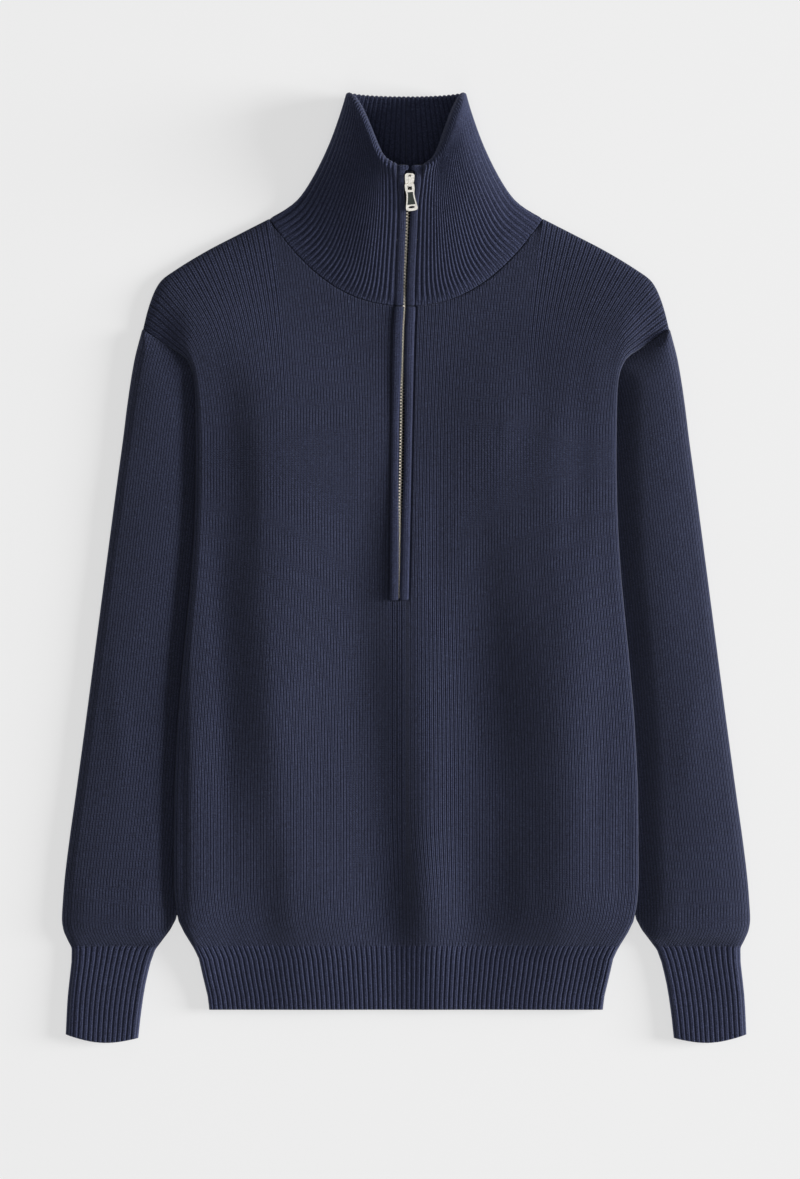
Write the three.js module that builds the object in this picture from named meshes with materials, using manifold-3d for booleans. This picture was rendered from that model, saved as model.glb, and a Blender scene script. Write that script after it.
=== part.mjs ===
// Quarter zip sweater, laid out flat on its back. Millimetres, +Z up, +Y towards the collar.
// Right means +X, as the garment is seen from above.
import * as THREE from 'three';
import { mergeVertices } from 'three/addons/utils/BufferGeometryUtils.js';
import ManifoldModule from 'manifold-3d';

const wasm = await ManifoldModule();
wasm.setup();

// Cloth and seams
const WALL = 3;
const GAP = 0.3;
const RIB_HEIGHT = 0.8;

// Body
const HEM_Y = -380.6;
const RIB_TOP_Y = -326;
const CHEST_Y = 100;
const HEM_RIBS = 84;
const NECK_HALF = 118;
const NECK_FRONT_Y = 225;
const NECK_SIDE_Y = 300;
const NECK_BACK_Y = 282;
const NECK_U = 0.56;
const SEAM_Z = 4.7;
const LIFT = 7.4;

// Sleeve, pressed under the body's side
const PRESSED = 6.8;
const SLEEVE_TOP = 9.7;
const CUFF_TOP = 8.4;
const CUFF_RIBS = 14;

// Collar
const COLLAR_WALL = 3.3;
const COLLAR_TOP_Y = 344.5;
const COLLAR_TOP_Z = 46;
const COLLAR_BACK_Y = 404.6;
const COLLAR_SIDE_Z = 16;
const COLLAR_RIBS = 29;
const COLLAR_RIB_HEIGHT = 0.7;

// Zip, with heights measured from the cloth's outer face
const SLOT_END_Y = -28.5;
const BAND_LOW = -1.6;
const BAND_TOP_BODY = 1.6;
const BAND_TOP_COLLAR = 0.7;
const TAPE_LOW = -4.4;
const TAPE_TOP = -3.6;
const CHAIN_LOW = -3.4;
const CHAIN_TOP = -1.9;
const CHAIN_HALF = 2;
const SLIDER_Y = 332.5;
const SLIDER_HALF = 4.1;
const SLIDER_LENGTH = 11.6;
const PIVOT_BACK = 3.7;
const PIVOT_HEIGHT = 2.6;
const TAB_LEAN = 8;

// Centres the footprint on the origin, between the cuffs' ends and the collar's corners.
const FOOTPRINT_SHIFT = 0.54;

// Half width of the body, whose side lies over the sleeve.
const BODY_SIDE = [
  { y: -381, half: 169.4 }, { y: -372, half: 170.3 }, { y: -355, half: 174.2 },
  { y: -337.6, half: 178 }, { y: -329, half: 181.9 }, { y: -320.4, half: 187 },
  { y: -311.7, half: 192.2 }, { y: -303, half: 196 }, { y: -286, half: 199 },
  { y: -268, half: 200 }, { y: -200, half: 199.5 }, { y: -141, half: 197 },
  { y: -80, half: 192 }, { y: -28, half: 187 }, { y: 6.5, half: 184 },
  { y: 60, half: 181.5 }, { y: 100, half: 181 }, { y: 150, half: 181.5 },
  { y: 178.5, half: 188.5 }, { y: 204, half: 227 },
];

// The body's edge above the chest line: the side, the corner, then the armhole seam.
const UPPER_EDGE = [
  { t: 0, x: 181, y: 100 }, { t: 0.25, x: 181.3, y: 130 }, { t: 0.42, x: 181.8, y: 150 },
  { t: 0.53, x: 183, y: 163 }, { t: 0.6, x: 185.5, y: 172 }, { t: 0.67, x: 190, y: 180.1 },
  { t: 0.77, x: 200, y: 187 }, { t: 0.89, x: 213, y: 195.6 }, { t: 1, x: 226.5, y: 204.5 },
];

// The shoulder's edge from the neck to the armhole.
const SHOULDER = [
  { s: 0, x: 118, y: 300 }, { s: 0.2, x: 144.5, y: 286.5 }, { s: 0.4, x: 170.3, y: 273.1 },
  { s: 0.62, x: 198.7, y: 255.9 }, { s: 0.73, x: 210.3, y: 247.3 }, { s: 0.8, x: 216, y: 238.7 },
  { s: 0.9, x: 222.3, y: 221.5 }, { s: 1, x: 226.5, y: 204.5 },
];

// The sleeve's outer and inner edges.
const SLEEVE_OUTER = [
  { y: -402, x: 293 }, { y: -372, x: 291.5 }, { y: -354.8, x: 289.8 }, { y: -337.6, x: 288 },
  { y: -329, x: 287.9 }, { y: -320.4, x: 291.5 }, { y: -312, x: 295 }, { y: -303, x: 296.3 },
  { y: -286, x: 295.4 }, { y: -268.8, x: 294 }, { y: -234, x: 289.8 }, { y: -200, x: 285 },
  { y: -131, x: 275.6 }, { y: -62.4, x: 266.6 }, { y: 6.5, x: 257.6 }, { y: 75.3, x: 248.5 },
  { y: 109.7, x: 243.8 }, { y: 144, x: 239.5 }, { y: 178.5, x: 233.9 }, { y: 204, x: 227.4 },
];
const SLEEVE_INNER = [
  { y: -405, x: 230.5 }, { y: -389, x: 228.8 }, { y: -372, x: 226.6 }, { y: -354.8, x: 223.6 },
  { y: -337.6, x: 219.3 }, { y: -329, x: 215.9 }, { y: -320.4, x: 209.4 }, { y: -312, x: 203 },
  { y: -303, x: 198.2 }, { y: 115.7, x: 93.6 },
];
const ARM_TOP = { x: 226.8, y: 204 };
const ARM_PIT = { x: 93.6, y: 115.7 };

// Rings down the sleeve: where each meets the outer and the inner edge.
const SLEEVE_RINGS = [
  { outer: 204, inner: 115.7 }, { outer: 185, inner: 92 }, { outer: 152, inner: 55 },
  { outer: 105, inner: 12 }, { outer: 45, inner: -40 }, { outer: -20, inner: -95 },
  { outer: -90, inner: -150 }, { outer: -155, inner: -203 }, { outer: -215, inner: -250 },
  { outer: -262, inner: -285 }, { outer: -290, inner: -303 }, { outer: -308, inner: -312 },
  { outer: -320, inner: -320.4 }, { outer: -326, inner: -326 }, { outer: -330, inner: -330 },
  { outer: -354, inner: -354 }, { outer: -380, inner: -381 }, { outer: -402, inner: -405 },
];
const CUFF_RING = 13;

// The collar's side in outline, and its front rim from the zip to the corner.
const COLLAR_SIDE = [
  { y: 300.5, x: 117.5 }, { y: 303.5, x: 113.5 }, { y: 307.5, x: 106.6 }, { y: 316, x: 95 },
  { y: 324.7, x: 87.7 }, { y: 337.6, x: 79.6 }, { y: 350.5, x: 72.7 }, { y: 367.7, x: 64.9 },
  { y: 384.9, x: 58.5 }, { y: 397.8, x: 54.2 }, { y: 408, x: 51.2 },
];
const RIM = [
  { along: 0, across: 0, up: 0 }, { along: 0.09, across: 0.2, up: 0.08 },
  { along: 0.16, across: 0.31, up: 0.165 }, { along: 0.28, across: 0.41, up: 0.307 },
  { along: 0.53, across: 0.564, up: 0.575 }, { along: 0.75, across: 0.72, up: 0.81 },
  { along: 0.89, across: 0.86, up: 0.945 }, { along: 1, across: 1, up: 1 },
];

// The zip's line, half the width of its slot, and half the gap between its bands.
const ZIP_LINE = [
  { y: -30, x: -6, slot: 8.6, open: 0.5 }, { y: 100, x: -4, slot: 9.2, open: 0.8 },
  { y: 204, x: -2, slot: 9.6, open: 1.2 }, { y: 224.8, x: -1, slot: 9.3, open: 1.2 },
  { y: 225.2, x: -1, slot: 8.8, open: 1.5 }, { y: 300, x: 1.7, slot: 8.8, open: 1.7 },
  { y: 312, x: 2.1, slot: 9.1, open: 3 }, { y: 325, x: 2.7, slot: 10, open: 4.4 },
  { y: 339, x: 3.3, slot: 11, open: 4.4 }, { y: 341, x: 3.4, slot: 11.2, open: 1.3 },
  { y: 346, x: 3.6, slot: 11.4, open: 1.1 },
];

// Soft vertical folds of the front: crests and valleys across the body.
const FOLDS = [
  { x: -192, h: 0.4 }, { x: -150, h: -1.9 }, { x: -108, h: 2.4 }, { x: -36, h: -2.6 },
  { x: 15, h: 1.4 }, { x: 68, h: -2.4 }, { x: 134, h: 2.2 }, { x: 164, h: 0.9 }, { x: 192, h: 0.2 },
];

// How much the cloth fills out above its flat height, in the middle of the body and of a sleeve.
const BODY_FULLNESS = 4.5;
const SLEEVE_FULLNESS = 5;

// Height of the side's edge, from the hem over the sleeve to the armhole.
const EDGE_Z = [
  { v: 0, z: 3.9, round: 4, closed: 1 }, { v: 0.064, z: 6, round: 4, closed: 1 },
  { v: 0.105, z: 9.2, round: 5, closed: 1 }, { v: 0.16, z: 11.2, round: 6, closed: 1 },
  { v: 0.22, z: 11.9, round: 7, closed: 1 },
  { v: 1.5, z: 11.9, round: 7, closed: 1 }, { v: 1.64, z: 11.5, round: 8, closed: 1 },
  { v: 1.76, z: 10, round: 14, closed: 0 }, { v: 1.9, z: 7.6, round: 14, closed: 0 },
  { v: 2, z: 7.4, round: 12, closed: 0 },
];

const clamp = (n, low, high) => Math.min(Math.max(n, low), high);
const mix = (a, b, t) => a + (b - a) * t;
const smooth = (n) => {
  const t = clamp(n, 0, 1);
  return t * t * (3 - 2 * t);
};
const rounded = (n) => {
  const t = clamp(n, 0, 1);
  return Math.sqrt(1 - (1 - t) * (1 - t));
};
const gauss = (n) => Math.exp(-n * n);

// Reads a column of a table between its rows.
function at(rows, key, value, column) {
  let i = 1;
  while (i < rows.length - 1 && value > rows[i][key]) i += 1;
  const a = rows[i - 1];
  const b = rows[i];
  return mix(a[column], b[column], clamp((value - a[key]) / (b[key] - a[key]), 0, 1));
}

const frontNeck = (x) => NECK_FRONT_Y + (NECK_SIDE_Y - NECK_FRONT_Y) * (Math.abs(x) / NECK_HALF) ** 2.3;
const backNeck = (x) => NECK_BACK_Y + (NECK_SIDE_Y - NECK_BACK_Y) * (Math.abs(x) / NECK_HALF) ** 3.2;

const halfWidth = (y) => at(BODY_SIDE, 'y', y, 'half');

// Distance below the armhole seam's line, towards the sleeve.
function belowSeam(x, y) {
  const dx = ARM_TOP.x - ARM_PIT.x;
  const dy = ARM_TOP.y - ARM_PIT.y;
  return ((Math.abs(x) - ARM_TOP.x) * dy - (y - ARM_TOP.y) * dx) / Math.hypot(dx, dy);
}

// Distance inside the line of the shoulder.
function fromShoulder(x, y) {
  const [a, b] = [SHOULDER[1], SHOULDER[3]];
  return ((b.x - Math.abs(x)) * (a.y - b.y) + (b.y - y) * (b.x - a.x)) / Math.hypot(b.x - a.x, b.y - a.y);
}

// Height of what the back panel lies on: the table, or the sleeve's hidden edge.
function lying(x, y) {
  const side = Math.abs(x);
  const bottom = SLEEVE_INNER[SLEEVE_INNER.length - 2];
  const dx = ARM_PIT.x - bottom.x;
  const dy = ARM_PIT.y - bottom.y;
  const past = ((side - bottom.x) * dy - (y - bottom.y) * dx) / Math.hypot(dx, dy);
  const below = belowSeam(x, y);
  const round = 30;
  const least = Math.min(below, past);
  const inner = least - round * Math.log1p(Math.exp(-Math.abs(below - past) / round));
  const onSleeve = smooth((inner + 100) / 82);
  const along = Math.hypot(side - ARM_TOP.x, y - ARM_TOP.y);
  const nearHem = smooth((y + 374) / 62);
  const ramp = Math.max(onSleeve, smooth((least + 24) / 12)) * smooth((along - 10) / 34);
  return LIFT * ramp * nearHem * smooth(fromShoulder(x, y) / 55);
}

// Height of the front's outer face over what it lies on, away from its edges.
function swell(x, y) {
  const shifted = x / (1 + 0.0009 * (y + 130)) + 0.03 * (y + 130);
  let i = 1;
  while (i < FOLDS.length - 1 && shifted > FOLDS[i].x) i += 1;
  const a = FOLDS[i - 1];
  const b = FOLDS[i];
  const fold = mix(a.h, b.h, smooth((shifted - a.x) / (b.x - a.x)));
  const strong = smooth((150 - y) / 240) * (0.3 + 0.7 * smooth((y + 345) / 45));
  const dimple = -1.2 * gauss((x + 6) / 24) * gauss((y + 47) / 18);
  const inside = smooth((halfWidth(y) - Math.abs(x)) / 60);
  const full = BODY_FULLNESS * inside * smooth((y + 372) / 100) * smooth((210 - y) / 120);
  return 8.1 + 1.3 * smooth(y / 140) + full + fold * strong + dimple;
}

const zipX = (y) => at(ZIP_LINE, 'y', y, 'x');
const slotHalf = (y) => at(ZIP_LINE, 'y', y, 'slot');

// Plan of a body panel: u runs across from -1 to 1, v up: 0 hem, 1 chest line, 2 top edge.
function panelPlan(u, v, neck) {
  const side = Math.sign(u) || 1;
  const a = Math.abs(u);
  if (v <= 1) {
    const y = mix(HEM_Y, CHEST_Y, v);
    return { x: u * halfWidth(y), y };
  }
  const t = v - 1;
  const inNeck = a < NECK_U;
  const s = clamp((a - NECK_U) / (1 - NECK_U), 0, 1);
  const topX = inNeck ? (NECK_HALF * a) / NECK_U : at(SHOULDER, 's', s, 'x');
  const topY = inNeck ? neck(topX) : at(SHOULDER, 's', s, 'y');
  const rise = topY - CHEST_Y;
  const start = inNeck ? rise : 200;
  const end = inNeck ? rise : mix(200, 144, s);
  const lean = THREE.MathUtils.degToRad(inNeck ? (10 * a) / NECK_U : 10 + 47 * s ** 1.3);
  const h0 = 2 * t ** 3 - 3 * t ** 2 + 1;
  const h1 = t ** 3 - 2 * t ** 2 + t;
  const h2 = 3 * t ** 2 - 2 * t ** 3;
  const h3 = t ** 3 - t ** 2;
  const baseX = a * halfWidth(CHEST_Y);
  const curveX = h0 * baseX + h2 * topX + h3 * end * Math.sin(lean);
  const curveY = h0 * CHEST_Y + h1 * start + h2 * topY + h3 * end * Math.cos(lean);
  const edge = a ** 7;
  const edgeEnd = at(SHOULDER, 's', 1, 'x');
  const edgeLean = THREE.MathUtils.degToRad(57);
  const edgeX = h0 * halfWidth(CHEST_Y) + h2 * edgeEnd + h3 * 144 * Math.sin(edgeLean);
  const edgeY = h0 * CHEST_Y + h1 * 200 + h2 * at(SHOULDER, 's', 1, 'y')
    + h3 * 144 * Math.cos(edgeLean);
  const x = curveX + edge * (at(UPPER_EDGE, 't', t, 'x') - edgeX);
  const y = curveY + edge * (at(UPPER_EDGE, 't', t, 'y') - edgeY);
  return { x: side * x, y };
}

// Both faces of the body at a point of its plan; extra is how far inside the edge to read them.
function bodyHeights(u, v, point, extra) {
  const a = Math.abs(u);
  const fromSide = (1 - a) * halfWidth(Math.min(point.y, CHEST_Y)) + extra.side;
  const level = at(EDGE_Z, 'v', v, 'z');
  const closed = at(EDGE_Z, 'v', v, 'closed');
  const low = lying(point.x, point.y);
  const top = low + swell(point.x, point.y);
  const curl = rounded(fromSide / at(EDGE_Z, 'v', v, 'round'));
  let front = mix(level + GAP / 2, top, curl);
  let back = mix(mix(low, level - GAP / 2, closed), low, curl);
  if (v > 1 && a > NECK_U - 0.001) {
    const fromTop = (2 - v) * 135 + extra.top;
    const drop = rounded(fromTop / 12);
    front = mix(SEAM_Z + GAP / 2, front, drop);
    back = mix(SEAM_Z - GAP / 2, back, drop);
  }
  return { front, back, level, closed };
}

// Where a panel's inner face lies in plan: a wall's thickness inside a closed edge.
function innerPlan(u, v, neck) {
  const a = Math.abs(u);
  const point = panelPlan(u, v, neck);
  const closed = at(EDGE_Z, 'v', v, 'closed');
  const side = WALL * closed * a ** 8;
  const shoulder = v > 1 && a > NECK_U - 0.001;
  const top = shoulder ? WALL * (v - 1) ** 12 : 0;
  const tilt = THREE.MathUtils.degToRad(mix(27, 75, smooth((a - NECK_U - 0.2) / 0.25)));
  const x = point.x - Math.sign(u) * (side + top * Math.sin(tilt));
  return { x, y: point.y - top * Math.cos(tilt), side, top };
}

const hemRib = (u, v) => {
  const column = Math.round((u + 1) * HEM_RIBS);
  const raised = column % 2 === 1 ? RIB_HEIGHT : 0;
  return v < 0.105 ? raised : 0;
};

// The slot's edges take the place of the two middle columns.
const SLOT_U = 0.052;
function withSlot(u, point) {
  if (Math.abs(Math.abs(u) - SLOT_U) > 1e-6 || point.y < RIB_TOP_Y + 1) return point;
  const y = Math.max(point.y, SLOT_END_Y);
  const edge = zipX(y) + Math.sign(u) * slotHalf(y);
  const here = smooth((point.y - RIB_TOP_Y) / 120);
  return { ...point, x: mix(u * halfWidth(point.y), edge, here) };
}

function frontOuter(u, v) {
  const p = withSlot(u, panelPlan(u, v, frontNeck));
  const { front } = bodyHeights(u, v, p, { side: 0, top: 0 });
  return [p.x, p.y, front + hemRib(u, v)];
}

// Height between the two layers of cloth: over the back's wall, and at a closed side its fold.
function parting(u, p, h) {
  const atFold = h.closed * smooth((Math.abs(u) - 0.985) / 0.015);
  return mix(lying(p.x, p.y) + WALL + 0.2, h.level, atFold);
}

function frontInner(u, v) {
  const p = withSlot(u, innerPlan(u, v, frontNeck));
  const h = bodyHeights(u, v, p, { side: p.side, top: p.top });
  const onSide = Math.abs(u) > 0.9999 && h.closed > 0.5;
  const onTop = v > 1.9999 && Math.abs(u) > NECK_U - 0.001;
  if (onTop) return [p.x, p.y, SEAM_Z + GAP / 2];
  if (onSide) return [p.x, p.y, h.level + GAP / 2];
  return [p.x, p.y, Math.max(h.front - WALL, parting(u, p, h) + GAP / 2)];
}

function backOuter(u, v) {
  const p = panelPlan(u, v, backNeck);
  const { back } = bodyHeights(u, v, p, { side: 0, top: 0 });
  const atNeck = v > 1.9999 && Math.abs(Math.abs(u) - NECK_U) < 0.001 ? 0.8 : 0;
  return [p.x, p.y, back - atNeck];
}

function backInner(u, v) {
  const p = innerPlan(u, v, backNeck);
  const h = bodyHeights(u, v, p, { side: p.side, top: p.top });
  const onSide = Math.abs(u) > 0.9999 && h.closed > 0.5;
  const onTop = v > 1.9999 && Math.abs(u) > NECK_U - 0.001;
  const atNeck = Math.abs(u) < NECK_U + 0.001 ? 1.9 : 0;
  if (onTop) return [p.x, p.y, SEAM_Z - GAP / 2 - atNeck];
  if (onSide) return [p.x, p.y, h.level - GAP / 2];
  return [p.x, p.y, Math.min(h.back + WALL, parting(u, p, h) - GAP / 2)];
}

// Joins two rows of points, each with its place along the row, by triangles.
function strip(a, b) {
  const faces = [];
  let i = 0;
  let j = 0;
  while (i < a.length - 1 || j < b.length - 1) {
    const nextA = i < a.length - 1 ? a[i + 1].u : Infinity;
    const nextB = j < b.length - 1 ? b[j + 1].u : Infinity;
    if (nextA <= nextB + 1e-9) {
      faces.push([a[i], a[i + 1], b[j]]);
      i += 1;
    } else {
      faces.push([a[i], b[j + 1], b[j]]);
      j += 1;
    }
  }
  return faces;
}

// A closed wall from rows of outer points, rows of inner points and the rims between them.
function wall(outerBlocks, innerBlocks, outer, inner, wrap) {
  const points = [];
  const index = new Map();
  const keyOf = (p) => `${(wrap ? p.u % 1 : p.u).toFixed(5)},${p.v.toFixed(5)}`;
  const vertex = (p, face, make) => {
    const key = `${face}${keyOf(p)}`;
    if (!index.has(key)) {
      index.set(key, points.length / 3);
      points.push(...make(wrap ? p.u % 1 : p.u, p.v));
    }
    return index.get(key);
  };
  const faces = [];
  const edges = new Map();
  for (const rows of outerBlocks) {
    for (let r = 1; r < rows.length; r += 1) {
      for (const tri of strip(rows[r - 1], rows[r])) {
        faces.push(...tri.map((p) => vertex(p, 'o', outer)));
        for (let k = 0; k < 3; k += 1) {
          const a = tri[k];
          const b = tri[(k + 1) % 3];
          edges.set(`${keyOf(a)}>${keyOf(b)}`, [a, b]);
        }
      }
    }
  }
  for (const rows of innerBlocks) {
    for (let r = 1; r < rows.length; r += 1) {
      for (const tri of strip(rows[r - 1], rows[r])) {
        faces.push(...tri.map((p) => vertex(p, 'i', inner)).reverse());
      }
    }
  }
  for (const [a, b] of edges.values()) {
    if (edges.has(`${keyOf(b)}>${keyOf(a)}`)) continue;
    const [a0, b0] = [vertex(a, 'o', outer), vertex(b, 'o', outer)];
    const [a1, b1] = [vertex(a, 'i', inner), vertex(b, 'i', inner)];
    faces.push(b0, a0, a1, b0, a1, b1);
  }
  return solid(points, faces);
}

// Turns points and triangles into a geometry whose faces point outwards.
function solid(points, faces) {
  let volume = 0;
  const p = (i) => new THREE.Vector3().fromArray(points, 3 * i);
  for (let k = 0; k < faces.length; k += 3) {
    volume += p(faces[k]).dot(p(faces[k + 1]).cross(p(faces[k + 2])));
  }
  const ordered = volume < 0 ? faces.slice().reverse() : faces;
  const geometry = new THREE.BufferGeometry();
  geometry.setAttribute('position', new THREE.Float32BufferAttribute(points, 3));
  geometry.setIndex(ordered);
  return geometry;
}

// A solid through closed sections of equal point counts, with flat ends.
function loft(sections) {
  const n = sections[0].length;
  const points = sections.flat(2);
  const faces = [];
  for (let s = 1; s < sections.length; s += 1) {
    for (let k = 0; k < n; k += 1) {
      const a = (s - 1) * n + k;
      const b = (s - 1) * n + ((k + 1) % n);
      faces.push(a, b, a + n, b, b + n, a + n);
    }
  }
  const last = (sections.length - 1) * n;
  for (let k = 1; k < n - 1; k += 1) {
    faces.push(0, k + 1, k, last, last + k, last + k + 1);
  }
  return solid(points, faces);
}

// Columns across a panel: close at the sides, where the cloth turns.
function panelColumns(inside) {
  const half = [0, SLOT_U, ...inside, 0.962, 0.983, 0.9946, 1];
  return [...half.slice(1).reverse().map((u) => -u), ...half];
}
const FRONT_COLUMNS = panelColumns([0.12, 0.2, 0.28, 0.36, 0.44, 0.5, NECK_U, 0.63, 0.7, 0.77, 0.84, 0.91]);
const BACK_COLUMNS = panelColumns([0.16, 0.28, 0.4, 0.48, NECK_U, 0.63, 0.7, 0.77, 0.84, 0.91]);
const fineColumns = (count) => Array.from({ length: 2 * count + 1 }, (_, k) => -1 + k / count);
const rowV = (y) => (y - HEM_Y) / (CHEST_Y - HEM_Y);
const makeRow = (v, columns) => columns.map((u) => ({ u, v }));

const BODY_ROWS = [-303, -272, -225, -170, -115, -70].map(rowV);
const SLOT_ROWS = [rowV(20), rowV(60), 1, 1.2, 1.38, 1.52, 1.62, 1.7, 1.8, 1.89, 1.95, 1.98, 1.994, 2];

function frontPanel() {
  const slot = rowV(SLOT_END_Y);
  const hem = makeRow(0, fineColumns(HEM_RIBS));
  const below = [makeRow(rowV(RIB_TOP_Y), FRONT_COLUMNS)];
  below.push(...BODY_ROWS.map((v) => makeRow(v, FRONT_COLUMNS)), makeRow(slot, FRONT_COLUMNS));
  const left = FRONT_COLUMNS.filter((u) => u < -SLOT_U + 1e-6);
  const right = FRONT_COLUMNS.filter((u) => u > SLOT_U - 1e-6);
  const above = [left, right].map((columns) => [slot, ...SLOT_ROWS].map((v) => makeRow(v, columns)));
  const ribV = rowV(RIB_TOP_Y - 4);
  const midV = rowV(-354);
  const outerRows = [hem, makeRow(midV, fineColumns(HEM_RIBS)), makeRow(ribV, fineColumns(HEM_RIBS)), ...below];
  const innerRows = [hem, makeRow(midV, FRONT_COLUMNS), makeRow(ribV, FRONT_COLUMNS), ...below];
  return wall([outerRows, ...above], [innerRows, ...above], frontOuter, frontInner);
}

function backPanel() {
  const rows = [0, rowV(-354), rowV(RIB_TOP_Y - 4), rowV(RIB_TOP_Y), ...BODY_ROWS, rowV(SLOT_END_Y), ...SLOT_ROWS];
  const block = rows.map((v) => makeRow(v, BACK_COLUMNS));
  return wall([block], [block], backOuter, backInner);
}

// A ring of the sleeve: the fraction across from the inner edge to the outer, and its width.
function sleeveSpan(ring) {
  const outer = { x: at(SLEEVE_OUTER, 'y', ring.outer, 'x'), y: ring.outer };
  const inner = { x: at(SLEEVE_INNER, 'y', ring.inner, 'x'), y: ring.inner };
  return { outer, inner, width: Math.hypot(outer.x - inner.x, outer.y - inner.y) };
}

// Around a ring, a runs 0 to 0.5 over the top, from the inner edge, and back under it.
const SLEEVE_EDGE = [0, 1, 3.2, 8];
const TOP_PARTS = 8;
const UNDER_PARTS = 3;
function sleevePlaces(parts) {
  const places = SLEEVE_EDGE.map((mm) => ({ mm, part: 0 }));
  for (let k = 1; k < parts; k += 1) places.push({ mm: 8, part: k / parts });
  return [...places, ...SLEEVE_EDGE.map((mm) => ({ mm, part: 1 })).reverse()];
}
const across = (place, width) => (place.part === 0 ? place.mm
  : place.part === 1 ? width - place.mm : mix(8, width - 8, place.part));

// Height of the sleeve's top face.
function sleeveTop(x, y, from, width, ring) {
  const beside = Math.min(belowSeam(x, y), x - halfWidth(clamp(y, -303, CHEST_Y)) - 1);
  const shown = y < -303 ? smooth((-303 - y) / 25) : 0;
  const free = Math.max(smooth(beside / 22), shown);
  const atCuff = smooth((ring - CUFF_RING + 2) / 2);
  const dome = SLEEVE_FULLNESS * smooth(beside / 42) * smooth((width - from) / 34) * (1 - atCuff);
  const high = mix(PRESSED, mix(SLEEVE_TOP, CUFF_TOP, atCuff), free) + dome;
  const middle = PRESSED / 2;
  const curl = rounded(from / 4) * rounded((width - from) / mix(4, 9, free));
  return mix(middle, high, curl);
}

function sleevePoint(a, ring, inset) {
  const { outer, inner, width } = sleeveSpan(SLEEVE_RINGS[ring]);
  const over = a < 0.5 + 1e-9;
  const from = over ? a * 2 * width : (1 - a) * 2 * width;
  const shrunk = inset + (width - 2 * inset) * (from / width);
  const t = shrunk / width;
  const x = mix(inner.x, outer.x, t);
  const sag = ring === SLEEVE_RINGS.length - 1 ? 5.5 * Math.sin(Math.PI * t) : 0;
  const y = mix(inner.y, outer.y, t) - sag;
  const start = ring === 0 ? GAP / 2 : 0;
  const shift = { x: start * 0.552, y: -start * 0.834 };
  const turn = PRESSED / 2;
  const top = sleeveTop(x, y, shrunk, width, ring);
  const low = turn * (1 - rounded(shrunk / 4) * rounded((width - shrunk) / 4));
  const z = over ? top - inset : low + inset;
  return [x + shift.x, y + shift.y, z];
}

function sleeve(side) {
  const top = sleevePlaces(TOP_PARTS);
  const under = sleevePlaces(UNDER_PARTS).slice(1, -1).reverse();
  const ribTop = Array.from({ length: 2 * CUFF_RIBS - 1 }, (_, k) => (k + 1) / (2 * CUFF_RIBS));
  const row = (ring, fine) => {
    const { width } = sleeveSpan(SLEEVE_RINGS[ring]);
    const over = fine
      ? [0, 1, 3.2].map((mm) => mm / width)
        .concat(ribTop.map((t) => mix(3.2, width - 3.2, t) / width))
        .concat([width - 3.2, width - 1, width].map((mm) => mm / width))
      : top.map((place) => across(place, width) / width);
    const back = under.map((place) => 1 - across(place, width) / width / 2);
    const places = [...over.map((t) => t / 2), ...back, 1];
    return places.map((u) => ({ u, v: ring }));
  };
  const rings = SLEEVE_RINGS.map((_, ring) => ring);
  const last = rings.length - 1;
  const outerRows = rings.map((ring) => row(ring, ring > CUFF_RING));
  const innerRows = rings.map((ring) => row(ring, ring >= last - 1));
  const raised = (a, ring) => {
    const { width } = sleeveSpan(SLEEVE_RINGS[ring]);
    const t = (a * 2 * width - 3.2) / (width - 6.4);
    const column = Math.round(t * 2 * CUFF_RIBS);
    return ring > CUFF_RING && t > 0.001 && t < 0.999 && column % 2 === 1 ? RIB_HEIGHT : 0;
  };
  const outer = (a, ring) => {
    const [x, y, z] = sleevePoint(a, ring, 0);
    return [side * x, y, z + raised(a, ring)];
  };
  const inner = (a, ring) => {
    const [x, y, z] = sleevePoint(a, ring, WALL);
    return [side * x, y, z];
  };
  return wall([outerRows], [innerRows], outer, inner, true);
}

// How far up the collar's front a row has risen.
const rising = (r) => (r - 0.12 * (1 - Math.exp(-r / 0.12))) / (1 - 0.12 * (1 - Math.exp(-1 / 0.12)));

// The front panel's outer face beside the zip and along the neckline.
function neckZ(x) {
  const u = (Math.abs(x) / NECK_HALF) * NECK_U;
  return bodyHeights(u, 1.9999, { x, y: frontNeck(x) }, { side: 0, top: 100 }).front;
}
const CENTRE_Z = neckZ(5);
function centreZ(y) {
  if (y > NECK_FRONT_Y) {
    const r = (y - NECK_FRONT_Y) / (COLLAR_TOP_Y - NECK_FRONT_Y);
    return mix(CENTRE_Z, COLLAR_TOP_Z, rising(r));
  }
  return lying(0, y) + (swell(zipX(y) - 9, y) + swell(zipX(y) + 9, y)) / 2;
}

// Place along a base curve whose points are spread evenly by length.
const spreadBase = (q) => q ** 0.86;

// A neckline between the panel's own columns, where the collar's base meets it.
function chord(neck, columns, x) {
  const knots = columns.filter((u) => u >= SLOT_U && u <= NECK_U + 1e-6);
  const rows = knots.map((u) => (u * NECK_HALF) / NECK_U).map((k) => ({ x: k, y: neck(k) }));
  const rise = neck(x + 0.5) - neck(x - 0.5);
  return at(rows, 'x', x, 'y') + (GAP + 0.04) * Math.hypot(1, rise);
}

const BASE_Y = NECK_FRONT_Y + GAP + 0.1;
const BASE_SIDE = { x: 117.5, y: NECK_SIDE_Y + 0.5 };

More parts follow.
